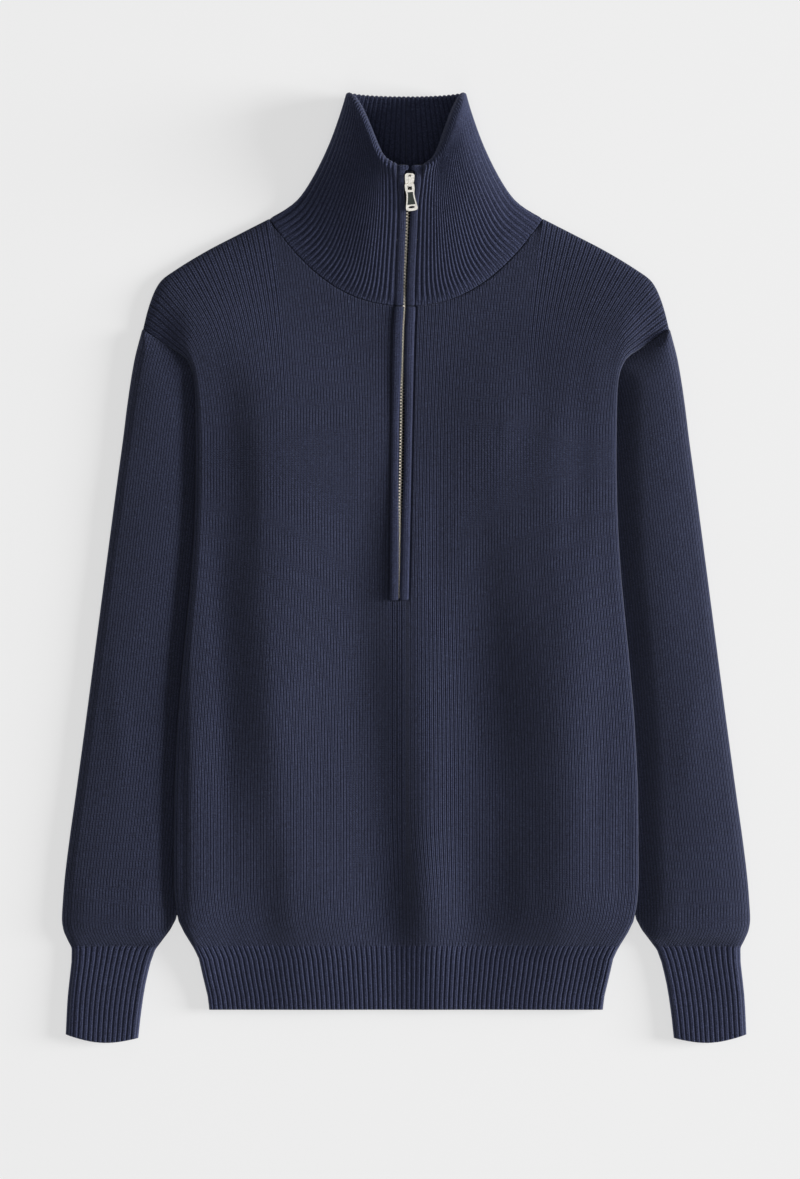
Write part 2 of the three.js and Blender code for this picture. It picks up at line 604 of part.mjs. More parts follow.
// A point of the collar's outer face: q 0 zip, 1 side, 2 centre back; r 0 base, 1 rim.
function collarPoint(q, r, side) {
  const rise = rising(r);
  const sideY = mix(BASE_SIDE.y, 408, r);
  const sideX = at(COLLAR_SIDE, 'y', sideY, 'x');
  const sideZ = mix(SEAM_Z, COLLAR_SIDE_Z, rise);
  if (q <= 1) {
    const y0 = mix(BASE_Y, COLLAR_TOP_Y, r);
    const x0 = slotHalf(y0) + side * zipX(y0);
    const base = spreadBase(q);
    const fan = r ** 1.3;
    const t = mix(base, at(RIM, 'along', q, 'across'), fan);
    const up = mix(t ** 2.3, at(RIM, 'across', t, 'up'), fan);
    const bulge = mix(18, 2.4, r ** 0.6);
    const x = mix(x0, sideX, t);
    const over = Math.sqrt(Math.max(0, 1 - q ** bulge));
    const crown = mix(CENTRE_Z, COLLAR_TOP_Z, rise);
    const baseX0 = slotHalf(BASE_Y) + side * zipX(BASE_Y);
    const baseSeam = chord(frontNeck, FRONT_COLUMNS, mix(baseX0, BASE_SIDE.x, base));
    const seam = baseSeam - mix(BASE_Y, BASE_SIDE.y, base ** 2.3);
    const y = mix(y0, sideY, up) + seam * (1 - smooth(r * 1.6));
    const z = mix(sideZ, crown, over) + 3 * Math.sin(Math.PI * r) * Math.sin(Math.PI * q);
    return [side * x, y, z];
  }
  const t = 2 - q;
  const backY = mix(NECK_BACK_Y, COLLAR_BACK_Y, r);
  const turn = mix(20, 3.2, r ** 0.7);
  const over = Math.sqrt(Math.max(0, 1 - t ** turn));
  const baseSeam = chord(backNeck, BACK_COLUMNS, BASE_SIDE.x * t);
  const seam = baseSeam - mix(NECK_BACK_Y, BASE_SIDE.y, t ** 2.2);
  const held = (1 - smooth(r * 1.6)) * (1 - smooth((t - 0.96) / 0.04));
  const y = mix(backY, sideY, t ** 2.2) + seam * held;
  return [side * sideX * t, y, mix(sideZ, 0, over)];
}

// The collar's outward direction, from small steps along and up it.
function collarNormal(q, r, side) {
  const step = 0.004;
  const along = new THREE.Vector3(...collarPoint(Math.min(q + step, 2), r, side))
    .sub(new THREE.Vector3(...collarPoint(Math.max(q - step, 0), r, side)));
  const up = new THREE.Vector3(...collarPoint(q, Math.min(r + step, 1), side))
    .sub(new THREE.Vector3(...collarPoint(q, Math.max(r - step, 0), side)));
  const normal = along.cross(up).normalize().multiplyScalar(side);
  if (q > 1.999) return new THREE.Vector3(0, 0, -1);
  return normal;
}

// Around the collar, u runs from the left of the zip (0), by the back (2), to the right (4).
const collarArgs = (u) => (u <= 2 ? { q: u, side: -1 } : { q: 4 - u, side: 1 });
function collarOuter(u, r) {
  const { q, side } = collarArgs(u);
  const point = new THREE.Vector3(...collarPoint(q, r, side));
  const column = Math.round(q * 2 * COLLAR_RIBS);
  if (q < 0.985 && column % 2 === 1) {
    point.addScaledVector(collarNormal(q, r, side), COLLAR_RIB_HEIGHT * smooth(r * 12));
  }
  return point.toArray();
}
function collarInner(u, r) {
  const { q, side } = collarArgs(u);
  const point = new THREE.Vector3(...collarPoint(q, r, side));
  const thin = 0.74 * gauss((q - 1) / 0.1) * (1 - smooth(r * 2.4));
  return point.addScaledVector(collarNormal(q, r, side), -COLLAR_WALL * (1 - thin)).toArray();
}

function collar() {
  const backHalf = [1, 1.012, 1.04, 1.09, 1.17, 1.3, 1.5, 1.75, 2];
  const ribHalf = Array.from({ length: 2 * COLLAR_RIBS }, (_, k) => k / (2 * COLLAR_RIBS));
  const plainHalf = [0, 0.1, 0.2, 0.3, 0.4, 0.5, 0.6, 0.7, 0.78, 0.86, 0.92, 0.96, 0.988];
  const around = (half) => {
    const left = [...half, ...backHalf];
    return [...left, ...left.slice(0, -1).reverse().map((u) => 4 - u)];
  };
  const fine = around([...ribHalf, 0.995]);
  const plain = around(plainHalf);
  const levels = [0, 0.07, 0.18, 0.34, 0.52, 0.7, 0.86, 1];
  const outerRows = levels.map((r) => makeRow(r, fine));
  const innerRows = levels.map((r) => makeRow(r, r === 0 || r === 1 ? fine : plain));
  return wall([outerRows], [innerRows], collarOuter, collarInner);
}

// The zip's frame at a height: its point on the cloth's face, across and outwards.
function zipFrame(y) {
  const step = 0.5;
  const along = new THREE.Vector3(zipX(y + step) - zipX(y - step), 2 * step,
    centreZ(y + step) - centreZ(y - step)).normalize();
  const out = new THREE.Vector3(1, 0, 0).cross(along).normalize();
  const point = new THREE.Vector3(zipX(y), y, centreZ(y));
  return { point, along, out };
}
const zipPlace = (y, x, h) => {
  const { point, out } = zipFrame(y);
  return [point.x + x, point.y + out.y * h, point.z + out.z * h];
};

// A knitted band beside the zip, rounded in section.
const BAND_ROUND = [
  { x: -1, h: 0.5 }, { x: -0.96, h: 0.2 }, { x: -0.8, h: 0 }, { x: 0.8, h: 0 },
  { x: 0.96, h: 0.2 }, { x: 1, h: 0.5 }, { x: 0.9, h: 0.82 }, { x: 0.55, h: 1 },
  { x: -0.55, h: 1 }, { x: -0.9, h: 0.82 },
];
function band(side, stations, high) {
  const sections = stations.map((y) => {
    const far = slotHalf(y) - GAP;
    const near = at(ZIP_LINE, 'y', y, 'open');
    return BAND_ROUND.map(({ x, h }) => {
      const place = side * ((near + far) / 2) + (x * (far - near)) / 2;
      return zipPlace(y, place, mix(BAND_LOW, high, h));
    });
  });
  return loft(sections);
}
const BODY_STATIONS = [-28.2, -10, 15, 40, 65, 90, 115, 140, 165, 190, 210, 224.6];
const COLLAR_STATIONS = [225.4, 232, 240, 255, 275, 300, 312, 325, 339, 341, 344.3];

function tape() {
  const rows = [-27.5, 0, 40, 80, 120, 160, 200, 222, 232, 245, 270, 300, 312, 324.6];
  const prongs = [324.6, 334, 343.8];
  const full = [-1, -0.5, 0.5, 1];
  const place = (u, y, h) => {
    const far = slotHalf(y) - 0.6;
    const x = Math.abs(u) > 0.9 ? Math.sign(u) * far : Math.sign(u) * (SLIDER_HALF + GAP + 0.1);
    return zipPlace(y, x, h);
  };
  const blocks = [rows.map((v) => makeRow(v, full))];
  blocks.push(prongs.map((v) => makeRow(v, [-1, -0.5])), prongs.map((v) => makeRow(v, [0.5, 1])));
  const top = (u, y) => place(u, y, TAPE_TOP);
  const low = (u, y) => place(u, y, TAPE_LOW);
  return wall(blocks, blocks, top, low);
}

function chain() {
  const stations = [-27, 0, 40, 80, 120, 160, 200, 222, 232, 245, 270, 300, 329];
  const corners = [[-1, CHAIN_LOW], [1, CHAIN_LOW], [1, CHAIN_TOP], [-1, CHAIN_TOP]];
  return loft(stations.map((y) => corners.map(([x, h]) => zipPlace(y, x * CHAIN_HALF, h))));
}

function toManifold(geometry) {
  const bare = geometry.clone();
  bare.deleteAttribute('normal');
  bare.deleteAttribute('uv');
  const merged = mergeVertices(bare, 1e-4);
  const mesh = new wasm.Mesh({
    numProp: 3,
    vertProperties: Float32Array.from(merged.attributes.position.array),
    triVerts: Uint32Array.from(merged.index.array),
  });
  return new wasm.Manifold(mesh);
}
function fromManifold(body) {
  const mesh = body.getMesh();
  const geometry = new THREE.BufferGeometry();
  const points = new THREE.Float32BufferAttribute(Float32Array.from(mesh.vertProperties), 3);
  geometry.setAttribute('position', points);
  geometry.setIndex(Array.from(mesh.triVerts));
  return geometry;
}

// A flat outline in the slider's plane, given a thickness.
function plate(outline, low, high, holes = []) {
  const shape = new THREE.Shape(outline.map(([x, y]) => new THREE.Vector2(x, y)));
  holes.forEach((hole) => shape.holes.push(new THREE.Path(hole.map(([x, y]) => new THREE.Vector2(x, y)))));
  const geometry = new THREE.ExtrudeGeometry(shape, { depth: high - low, bevelEnabled: false });
  return toManifold(geometry.translate(0, 0, low));
}
// A side outline, given a width across the zip.
function sideways(outline, half) {
  const shape = new THREE.Shape(outline.map(([y, h]) => new THREE.Vector2(y, h)));
  const geometry = new THREE.ExtrudeGeometry(shape, { depth: 2 * half, bevelEnabled: false });
  geometry.translate(0, 0, -half);
  geometry.applyMatrix4(new THREE.Matrix4().set(0, 0, 1, 0, 1, 0, 0, 0, 0, 1, 0, 0, 0, 0, 0, 1));
  return toManifold(geometry);
}
const box = (x, y, z) => {
  const size = [x[1] - x[0], y[1] - y[0], z[1] - z[0]];
  const middle = [x, y, z].map(([low, high]) => (low + high) / 2);
  return toManifold(new THREE.BoxGeometry(...size).translate(...middle));
};

// Places a hard part of the zip, whose own Z is outwards, on the collar.
function seat(geometry, lean) {
  const { point, along, out } = zipFrame(SLIDER_Y);
  const across3 = along.clone().cross(out);
  const matrix = new THREE.Matrix4().makeBasis(across3, along, out).setPosition(point);
  if (lean) {
    const pivot = new THREE.Vector3(0, -PIVOT_BACK, 0);
    matrix.multiply(new THREE.Matrix4().makeTranslation(pivot));
    matrix.multiply(new THREE.Matrix4().makeRotationZ(THREE.MathUtils.degToRad(lean)));
  }
  return geometry.applyMatrix4(matrix);
}

const PLATE_TOP = 1.3;
function slider() {
  const end = SLIDER_LENGTH / 2;
  const outline = [
    [-2.9, -end], [2.9, -end], [3.5, -end + 1.2], [SLIDER_HALF, 1.5], [SLIDER_HALF, 4.4],
    [2.6, end], [-2.6, end], [-SLIDER_HALF, 4.4], [-SLIDER_HALF, 1.5], [-3.5, -end + 1.2],
  ];
  const body = plate(outline, -4.6, PLATE_TOP);
  const channel = box([-2.4, 2.4], [-end - 1, 0.4], [-3.75, -1.5]);
  const bridge = sideways([
    [-5.75, PLATE_TOP - 0.2], [-5.05, PLATE_TOP - 0.2], [-5.05, 3.6], [-4.75, 3.9], [3.4, 3.9],
    [3.9, 3.3], [3.9, PLATE_TOP - 0.2], [5.2, PLATE_TOP - 0.2], [5, 4], [4, 5],
    [-4.9, 5], [-5.7, 4.3],
  ], 1.1);
  return seat(fromManifold(body.subtract(channel).add(bridge)));
}

// The pull tab: a raised frame around a plain sunken middle, a slot for the slider's
// bridge and a small oval hole. Its own origin is the pivot, with the tab towards -Y.
const TAB_SIDE = [
  { y: 0.6, half: 3.5 }, { y: 0.1, half: 4.1 }, { y: -4.4, half: 4.1 }, { y: -6.8, half: 3.6 },
  { y: -9, half: 3.4 }, { y: -13, half: 3.8 }, { y: -18, half: 4.7 }, { y: -21.3, half: 5.2 },
  { y: -22.6, half: 4.7 }, { y: -23.4, half: 2.9 }, { y: -23.7, half: 0 },
];
function tabOutline(inset, top, low) {
  const right = TAB_SIDE.filter(({ y }) => y <= top && y >= low).map(({ y, half }) => [half - inset, y]);
  const left = right.filter(([x]) => x > 0).map(([x, y]) => [-x, y]).reverse();
  return [...right.filter(([x]) => x > -inset - 0.01).map(([x, y]) => [Math.max(x, 0), y]), ...left];
}
function pullTab() {
  const z0 = PIVOT_HEIGHT - 0.6;
  const z1 = PIVOT_HEIGHT + 0.6;
  const oval = Array.from({ length: 14 }, (_, k) => {
    const turn = (2 * Math.PI * k) / 14;
    return [2.7 * Math.cos(turn), -20.3 + 1.05 * Math.sin(turn)];
  });
  const slot = [[-1.8, -0.6], [-1.8, -4.9], [1.8, -4.9], [1.8, -0.6]];
  const body = plate(tabOutline(0, 1, -24), z0, z1, [slot, oval]);
  const sunken = TAB_SIDE.filter(({ y }) => y < -6 && y > -19).map(({ y, half }) => [half - 1.2, y]);
  const recess = [...sunken, ...sunken.slice().reverse().map(([x, y]) => [-x, y])];
  return seat(fromManifold(body.subtract(plate(recess, z1 - 0.35, z1 + 1))), TAB_LEAN);
}

const CLOTH = { color: 0x2c3040, roughness: 0.95, metalness: 0 };
const RIBBED = { color: 0x282b3b, roughness: 0.95, metalness: 0 };
const TAPE = { color: 0x14161f, roughness: 0.9, metalness: 0 };
const METAL = { color: 0xb9b3a8, roughness: 0.35, metalness: 1 };

const PIECES = [
  { name: 'front_panel', make: frontPanel, look: CLOTH },
  { name: 'back_panel', make: backPanel, look: CLOTH },
  { name: 'sleeve_left', make: () => sleeve(-1), look: CLOTH },
  { name: 'sleeve_right', make: () => sleeve(1), look: CLOTH },
  { name: 'collar', make: collar, look: RIBBED },
  { name: 'placket_band_left', make: () => band(-1, BODY_STATIONS, BAND_TOP_BODY), look: RIBBED },
  { name: 'placket_band_right', make: () => band(1, BODY_STATIONS, BAND_TOP_BODY), look: RIBBED },
  { name: 'collar_band_left', make: () => band(-1, COLLAR_STATIONS, BAND_TOP_COLLAR), look: RIBBED },
  { name: 'collar_band_right', make: () => band(1, COLLAR_STATIONS, BAND_TOP_COLLAR), look: RIBBED },
  { name: 'zip_tape', make: tape, look: TAPE },
  { name: 'zip_chain', make: chain, look: METAL },
  { name: 'zip_slider', make: slider, look: METAL },
  { name: 'zip_pull_tab', make: pullTab, look: METAL },
];

const sweater = new THREE.Group();
for (const { name, make, look } of PIECES) {
  const geometry = make().translate(0, FOOTPRINT_SHIFT, 0);
  const mesh = new THREE.Mesh(geometry, new THREE.MeshStandardMaterial(look));
  mesh.name = name;
  sweater.add(mesh);
}

export default sweater;
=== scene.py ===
# %% [markdown]
# # Quarter zip sweater, laid out flat
# The sweater lies on its back on a pale table and is seen from straight above. It is a
# few tubes of knitted cloth, pressed flat, with a standing ribbed collar and a short zip.
# Each knitted piece is a surface worked out as a formula on a grid of two numbers, one
# across the cloth and one along it, so that stitches, ribs and folds can follow the cloth.
# Lengths are worked out in millimetres and turned into metres when a mesh is made.

import math

import bmesh
import bpy
import numpy as np
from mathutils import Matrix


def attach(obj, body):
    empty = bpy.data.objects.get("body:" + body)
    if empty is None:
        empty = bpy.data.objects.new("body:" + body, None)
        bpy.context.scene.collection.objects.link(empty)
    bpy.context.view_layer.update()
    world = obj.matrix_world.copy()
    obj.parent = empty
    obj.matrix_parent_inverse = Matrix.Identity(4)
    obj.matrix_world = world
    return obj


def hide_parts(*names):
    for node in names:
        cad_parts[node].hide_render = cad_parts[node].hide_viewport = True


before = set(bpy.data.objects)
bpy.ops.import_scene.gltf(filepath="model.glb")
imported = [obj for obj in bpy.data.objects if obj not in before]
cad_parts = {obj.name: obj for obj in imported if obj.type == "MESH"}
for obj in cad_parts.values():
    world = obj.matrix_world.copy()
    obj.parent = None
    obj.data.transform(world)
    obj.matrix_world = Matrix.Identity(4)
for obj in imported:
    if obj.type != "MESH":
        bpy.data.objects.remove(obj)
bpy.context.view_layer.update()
MM = 0.001
FOOTPRINT_SHIFT = 0.54


def show(name, data):
    """An object with this data, placed in the scene."""
    made = bpy.data.objects.new(name, data)
    bpy.context.scene.collection.objects.link(made)
    return made


def metres(points):
    """Points drawn in millimetres, as metres from the middle of the footprint."""
    return (points.reshape(-1, 3) + (0, FOOTPRINT_SHIFT, 0)) * MM


def new_material(name):
    """A material, its node tree and its Principled shader."""
    material = bpy.data.materials.new(name)
    material.use_nodes = True
    return material, material.node_tree, material.node_tree.nodes["Principled BSDF"]


# %% [markdown]
# ## Camera
# A garment laid flat is photographed from a stand high above it. A long lens far away
# keeps the sides parallel, as a real copy stand does, and the frame's height on the
# table, 1014 mm, sets the focal length.

# %% Camera
PHOTO_PIXELS = (800, 1179)
MM_PER_PIXEL = 0.86
CAMERA_HEIGHT = 8.0
CLOTH_HEIGHT = 0.012
PICTURE_CENTRE = (-0.0052, -0.0184)
FRAME_HEIGHT = PHOTO_PIXELS[1] * MM_PER_PIXEL * MM

camera_data = bpy.data.cameras.new("copy_stand_camera")
camera_data.sensor_fit = "VERTICAL"
camera_data.sensor_height = 24
camera_data.lens = camera_data.sensor_height * (CAMERA_HEIGHT - CLOTH_HEIGHT) / FRAME_HEIGHT
camera_data.clip_end = 50
camera = show("copy_stand_camera", camera_data)
camera.location = (*PICTURE_CENTRE, CAMERA_HEIGHT)
bpy.context.scene.camera = camera
print("lens, mm:", round(camera_data.lens, 1))


# %% [markdown]
# ## Table and light
# The shadows are soft and fall to the left, so the main light is a large panel low on the
# right, which also brings out the folds and the knit. The studio's walls and ceiling fill
# the rest a little. Two weak panels, one over the camera and one past the hem, are there
# for the metal to mirror. The Standard view keeps the table's white and the yarn's dark.

# %% Table and light
def plain_material(name, colour, roughness, glow):
    """One even colour that glows a little, as a lit table top does, so its shadows stay pale."""
    material, _, shader = new_material(name)
    shader.inputs["Base Color"].default_value = (*colour, 1)
    shader.inputs["Roughness"].default_value = roughness
    shader.inputs["Specular IOR Level"].default_value = 0.1
    shader.inputs["Emission Color"].default_value = (1, 1, 1, 1)
    shader.inputs["Emission Strength"].default_value = glow
    return material


def flat_table(name, half, height):
    """A square of 2 x half metres at a height."""
    corners = [(x * half, y * half, height) for x, y in ((-1, -1), (1, -1), (1, 1), (-1, 1))]
    mesh = bpy.data.meshes.new(name)
    mesh.from_pydata(corners, [], [(0, 1, 2, 3)])
    return show(name, mesh)


TABLE_GAP = 0.0004
table_top = flat_table("table_top", 6, -TABLE_GAP)
table_top.data.materials.append(plain_material("pale_table", (0.36, 0.36, 0.36), 0.9, 0.59))


def light_panel(name, place, size, watts):
    """A square soft light at a place, turned towards the sweater."""
    data = bpy.data.lights.new(name, "AREA")
    data.shape = "SQUARE"
    data.size = size
    data.energy = watts
    lamp = show(name, data)
    lamp.location = place
    x, y, z = place
    lamp.rotation_euler = (math.atan2(math.hypot(x, y), z), 0, math.atan2(-y, -x) - math.pi / 2)


light_panel("right_panel", (12.6, 0.6, 3.85), 4.8, 2520)
light_panel("top_panel", (0, 0, 8.3), 4, 85)
light_panel("front_light", (0.3, -6.2, 8), 4, 46)

WALL_LIGHT = 0.3
CEILING_LIGHT = 0.08
sky = bpy.data.worlds.new("studio_walls")
sky.use_nodes = True
tree = sky.node_tree
background = tree.nodes["Background"]
background.inputs["Color"].default_value = (1, 1, 1, 1)
direction = tree.nodes.new("ShaderNodeTexCoord")
split = tree.nodes.new("ShaderNodeSeparateXYZ")
fade = tree.nodes.new("ShaderNodeMapRange")
fade.inputs["To Min"].default_value = WALL_LIGHT
fade.inputs["To Max"].default_value = CEILING_LIGHT
tree.links.new(direction.outputs["Generated"], split.inputs["Vector"])
tree.links.new(split.outputs["Z"], fade.inputs["Value"])
tree.links.new(fade.outputs["Result"], background.inputs["Strength"])
bpy.context.scene.world = sky
bpy.context.scene.view_settings.view_transform = "Standard"


# %% [markdown]
# ## Reading tables and easing
# The outline of a garment is a few measured widths. A smooth curve through them, which
# never overshoots a measured width, gives the edge between them.

# %% Tables and easing
def smooth(n):
    """Eases from 0 to 1 as n does: 3n^2 - 2n^3."""
    n = np.clip(n, 0, 1)
    return n * n * (3 - 2 * n)


def rounded(n):
    """A quarter circle from 0 to 1 as n goes from 0 to 1."""
    n = np.clip(n, 0, 1)
    return np.sqrt(1 - (1 - n) ** 2)


def mix(a, b, t):
    """From a to b as t goes from 0 to 1."""
    return a + (b - a) * t


def bell(n):
    """1 at n = 0, falling off as exp(-n^2)."""
    return np.exp(-n * n)


def read(rows, value, column=1, key=0):
    """A column of a table at a value of its key: a cubic through the rows with level turns."""
    x = rows[:, key]
    y = rows[:, column]
    rise = np.diff(y) / np.diff(x)
    both = rise[:-1] * rise[1:]
    total = np.where(both > 0, rise[:-1] + rise[1:], 1)
    slope = np.concatenate([rise[:1], np.where(both > 0, 2 * both / total, 0), rise[-1:]])
    v = np.clip(value, x[0], x[-1])
    k = np.clip(np.searchsorted(x, v, side="right") - 1, 0, len(x) - 2)
    step = x[k + 1] - x[k]
    t = (v - x[k]) / step
    ends = (2 * t**3 - 3 * t**2 + 1) * y[k] + (3 * t**2 - 2 * t**3) * y[k + 1]
    return ends + step * ((t**3 - 2 * t**2 + t) * slope[k] + (t**3 - t**2) * slope[k + 1])


# %% [markdown]
# ## Sizes
# The sweater is 400 mm wide over the body, 680 mm from the shoulder's high point to the
# hem, and its sleeves lie beside it. The tables hold half widths, edges and heights.

# %% Sizes of the body and sleeves
WALL = 3
SEAM_GAP = 0.3
HALF_GAP = SEAM_GAP / 2
SEAM_OVERLAP = -1.2
HEM_Y = -380.6
RIB_TOP_Y = -326
CHEST_Y = 100
HEM_RIBS = 84
NECK_HALF = 118
NECK_FRONT_Y = 225
NECK_SIDE_Y = 300
NECK_BACK_Y = 282
NECK_U = 0.56
SEAM_Z = 4.7
SLEEVE_LIFT = 7.4
PRESSED = 6.8
SLEEVE_TOP = 9.7
CUFF_TOP = 8.4
CUFF_RIBS = 14
CUFF_RING = 13

# y, half width of the body
BODY_SIDE = np.array([
    (-381, 169.4), (-372, 170.3), (-355, 174.2), (-337.6, 178), (-329, 181.9), (-320.4, 187),
    (-311.7, 192.2), (-303, 196), (-286, 199), (-268, 200), (-200, 199.5), (-141, 197),
    (-80, 192), (-28, 187), (6.5, 184), (60, 181.5), (100, 181), (150, 181.5),
    (178.5, 188.5), (204, 227),
])
# part of the way up from the chest, x, y of the body's edge
UPPER_EDGE = np.array([
    (0, 181, 100), (0.25, 181.3, 130), (0.42, 181.8, 150), (0.53, 183, 163), (0.6, 185.5, 172),
    (0.67, 190, 180.1), (0.77, 200, 187), (0.89, 213, 195.6), (1, 226.5, 204.5),
])
# part of the way from neck to armhole, x, y of the shoulder
SHOULDER = np.array([
    (0, 118, 300), (0.2, 144.5, 286.5), (0.4, 170.3, 273.1), (0.62, 198.7, 255.9),
    (0.73, 210.3, 247.3), (0.8, 216, 238.7), (0.9, 222.3, 221.5), (1, 226.5, 204.5),
])
# y, x of the sleeve's outer edge
SLEEVE_OUTER = np.array([
    (-402, 293), (-372, 291.5), (-354.8, 289.8), (-337.6, 288), (-329, 287.9), (-320.4, 291.5),
    (-312, 295), (-303, 296.3), (-286, 295.4), (-268.8, 294), (-234, 289.8), (-200, 285),
    (-131, 275.6), (-62.4, 266.6), (6.5, 257.6), (75.3, 248.5), (109.7, 243.8), (144, 239.5),
    (178.5, 233.9), (204, 227.4),
])
# y, x of the sleeve's inner edge
SLEEVE_INNER = np.array([
    (-405, 230.5), (-389, 228.8), (-372, 226.6), (-354.8, 223.6), (-337.6, 219.3),
    (-329, 215.9), (-320.4, 209.4), (-312, 203), (-303, 198.2), (115.7, 93.6),
])
# top and pit of the armhole as x, y, and the direction across its seam
ARM_TOP = (226.8, 204)
ARM_PIT = (93.6, 115.7)
ARM_OUT = (0.552, -0.834)
# ring, its y on the outer edge, its y on the inner edge
SLEEVE_RINGS = np.array([
    (0, 204, 115.7), (1, 185, 92), (2, 152, 55), (3, 105, 12), (4, 45, -40), (5, -20, -95),
    (6, -90, -150), (7, -155, -203), (8, -215, -250), (9, -262, -285), (10, -290, -303),
    (11, -308, -312), (12, -320, -320.4), (13, -326, -326), (14, -330, -330),
    (15, -354, -354), (16, -380, -381), (17, -402, -405),
])
# way up the side, height of its edge, how round it is, whether it is a closed fold
SIDE_EDGE = np.array([
    (0, 3.9, 4, 1), (0.064, 6, 4, 1), (0.105, 9.2, 5, 1), (0.16, 11.2, 6, 1), (0.22, 11.9, 7, 1),
    (1.5, 11.9, 7, 1), (1.64, 11.5, 8, 1), (1.76, 10, 14, 0), (1.9, 7.6, 14, 0), (2, 7.4, 12, 0),
])
# y, x of the zip, half its slot
ZIP_LINE = np.array([
    (-30, -6, 8.6), (100, -4, 9.2), (204, -2, 9.6), (224.8, -1, 9.3), (225.2, -1, 8.8),
    (300, 1.7, 8.8), (312, 2.1, 9.1), (325, 2.7, 10), (339, 3.3, 11), (341, 3.4, 11.2),
    (346, 3.6, 11.4),
])
SLOT_END_Y = -28.5
SLOT_COLUMN = 13
PANEL_COLUMNS = 504
SLOT_U = 2 * SLOT_COLUMN / PANEL_COLUMNS


def half_width(y):
    """Half the body's width at a height."""
    return read(BODY_SIDE, y)


# %% [markdown]
# ## How the cloth lies
# The hidden inner part of each sleeve lies under the body and lifts it. Over that, the
# front swells and falls in a few long soft folds, which the light from the right shows
# as pale and dark bands. Each fold is one row of a table, drawn from the photo.

# %% How the cloth lies
def below_seam(x, y):
    """Distance below the line of the armhole seam."""
    dx = ARM_TOP[0] - ARM_PIT[0]
    dy = ARM_TOP[1] - ARM_PIT[1]
    return ((np.abs(x) - ARM_TOP[0]) * dy - (y - ARM_TOP[1]) * dx) / math.hypot(dx, dy)


def from_shoulder(x, y):
    """Distance inside the straight line of the shoulder."""
    (_, ax, ay), (_, bx, by) = SHOULDER[1], SHOULDER[3]
    return ((bx - np.abs(x)) * (ay - by) + (by - y) * (bx - ax)) / math.hypot(bx - ax, by - ay)


def lying(x, y):
    """Height of what the back lies on: the table, or the sleeve's hidden part by a soft ramp."""
    side = np.abs(x)
    bottom = SLEEVE_INNER[-2]
    dx = ARM_PIT[0] - bottom[1]
    dy = ARM_PIT[1] - bottom[0]
    past = ((side - bottom[1]) * dy - (y - bottom[0]) * dx) / math.hypot(dx, dy)
    below = below_seam(x, y)
    least = np.minimum(below, past)
    inner = least - 30 * np.log1p(np.exp(-np.abs(below - past) / 30))
    along = np.hypot(side - ARM_TOP[0], y - ARM_TOP[1])
    ramp = np.maximum(smooth((inner + 100) / 82), smooth((least + 24) / 12))
    near = smooth((along - 10) / 34) * smooth((y + 374) / 62) * smooth(from_shoulder(x, y) / 55)
    return SLEEVE_LIFT * ramp * near


FRONT_HEIGHT = 8.1
# How much the cloth fills out above its flat height: the body, and the left and right sleeve
BODY_FULLNESS = 6
SLEEVE_FULLNESS = {-1: 3.4, 1: 6.5}
# x at y = -130, height and sideways drift per mm up of the front's long crests and valleys
FOLDS = np.array([
    (-192, 0.9, 0), (-185, 2.8, 0), (-153, -3.5, -0.02), (-110, 4.5, -0.08), (-33, -4.8, -0.11),
    (15, 2.7, -0.04), (62, -4.3, 0.03), (144, 4.4, 0.08), (170, 2.6, 0.02), (192, 0.4, 0),
])
# x, y, half width, half length, turn in degrees and height of the smaller soft creases
CREASES = np.array([
    (-146, 90, 15, 90, 8, -1.8), (-112, 96, 24, 80, 12, 1.3), (150, 70, 16, 80, -10, -1.4),
    (122, 104, 16, 60, -20, 0.8), (-96, -262, 14, 46, -8, 1.2), (34, -250, 12, 60, -6, -0.8),
    (100, -276, 12, 44, 8, 1.0), (-30, 40, 10, 56, 4, -0.8), (26, 10, 10, 60, -4, -0.8),
    (-60, 150, 26, 52, 40, 0.7), (60, 152, 30, 50, -40, -0.9), (-172, -60, 8, 120, 3, 0.9),
    (112, 140, 26, 90, -4, -2.2), (164, 120, 13, 90, 0, 2.0),
    (166, -190, 9, 90, -3, -1.0), (-6, -80, 30, 26, 0, -0.7), (74, -60, 13, 80, 5, -0.9),
    (50, -160, 11, 60, 4, 0.7), (-62, -120, 12, 70, 2, 0.8),
])


def crease(x, y, row):
    """One soft ridge or trough: a bell across its turned line and a longer bell along it."""
    turn = math.radians(row[4])
    dx = x - row[0]
    dy = y - row[1]
    across = dx * math.cos(turn) + dy * math.sin(turn)
    along = dy * math.cos(turn) - dx * math.sin(turn)
    return row[5] * bell(across / row[2]) * bell(along / row[3])


def swell(x, y):
    """Height of the front's outer face over what it lies on: flat cloth, folds and creases."""
    fold = read(FOLDS, x - read(FOLDS, x, 2) * (y + 130))
    uneven = 1 + 0.14 * np.sin(y / 61 + x / 83) + 0.08 * np.sin(y / 27 - x / 140)
    strong = smooth((150 - y) / 240) * (0.3 + 0.7 * smooth((y + 345) / 45))
    dimple = -1.2 * bell((x + 6) / 24) * bell((y + 47) / 18)
    ripple = 0.3 * np.sin(x / 19 + 1.3 * np.sin(y / 70)) * np.sin(y / 47 + x / 90)
    small = sum(crease(x, y, row) for row in CREASES)
    away = smooth((y + 350) / 60) * smooth((215 - y) / 60)
    inside = smooth((half_width(y) - np.abs(x)) / 60)
    full = BODY_FULLNESS * inside * smooth((y + 372) / 100) * smooth((210 - y) / 120)
    flat = FRONT_HEIGHT + 1.3 * smooth(y / 140)
    return flat + full + fold * strong * uneven + dimple + (ripple + small) * away


print("height of the folds at the belly, mm:", np.round(swell(np.arange(-150, 151, 50.0), -130.0), 2))


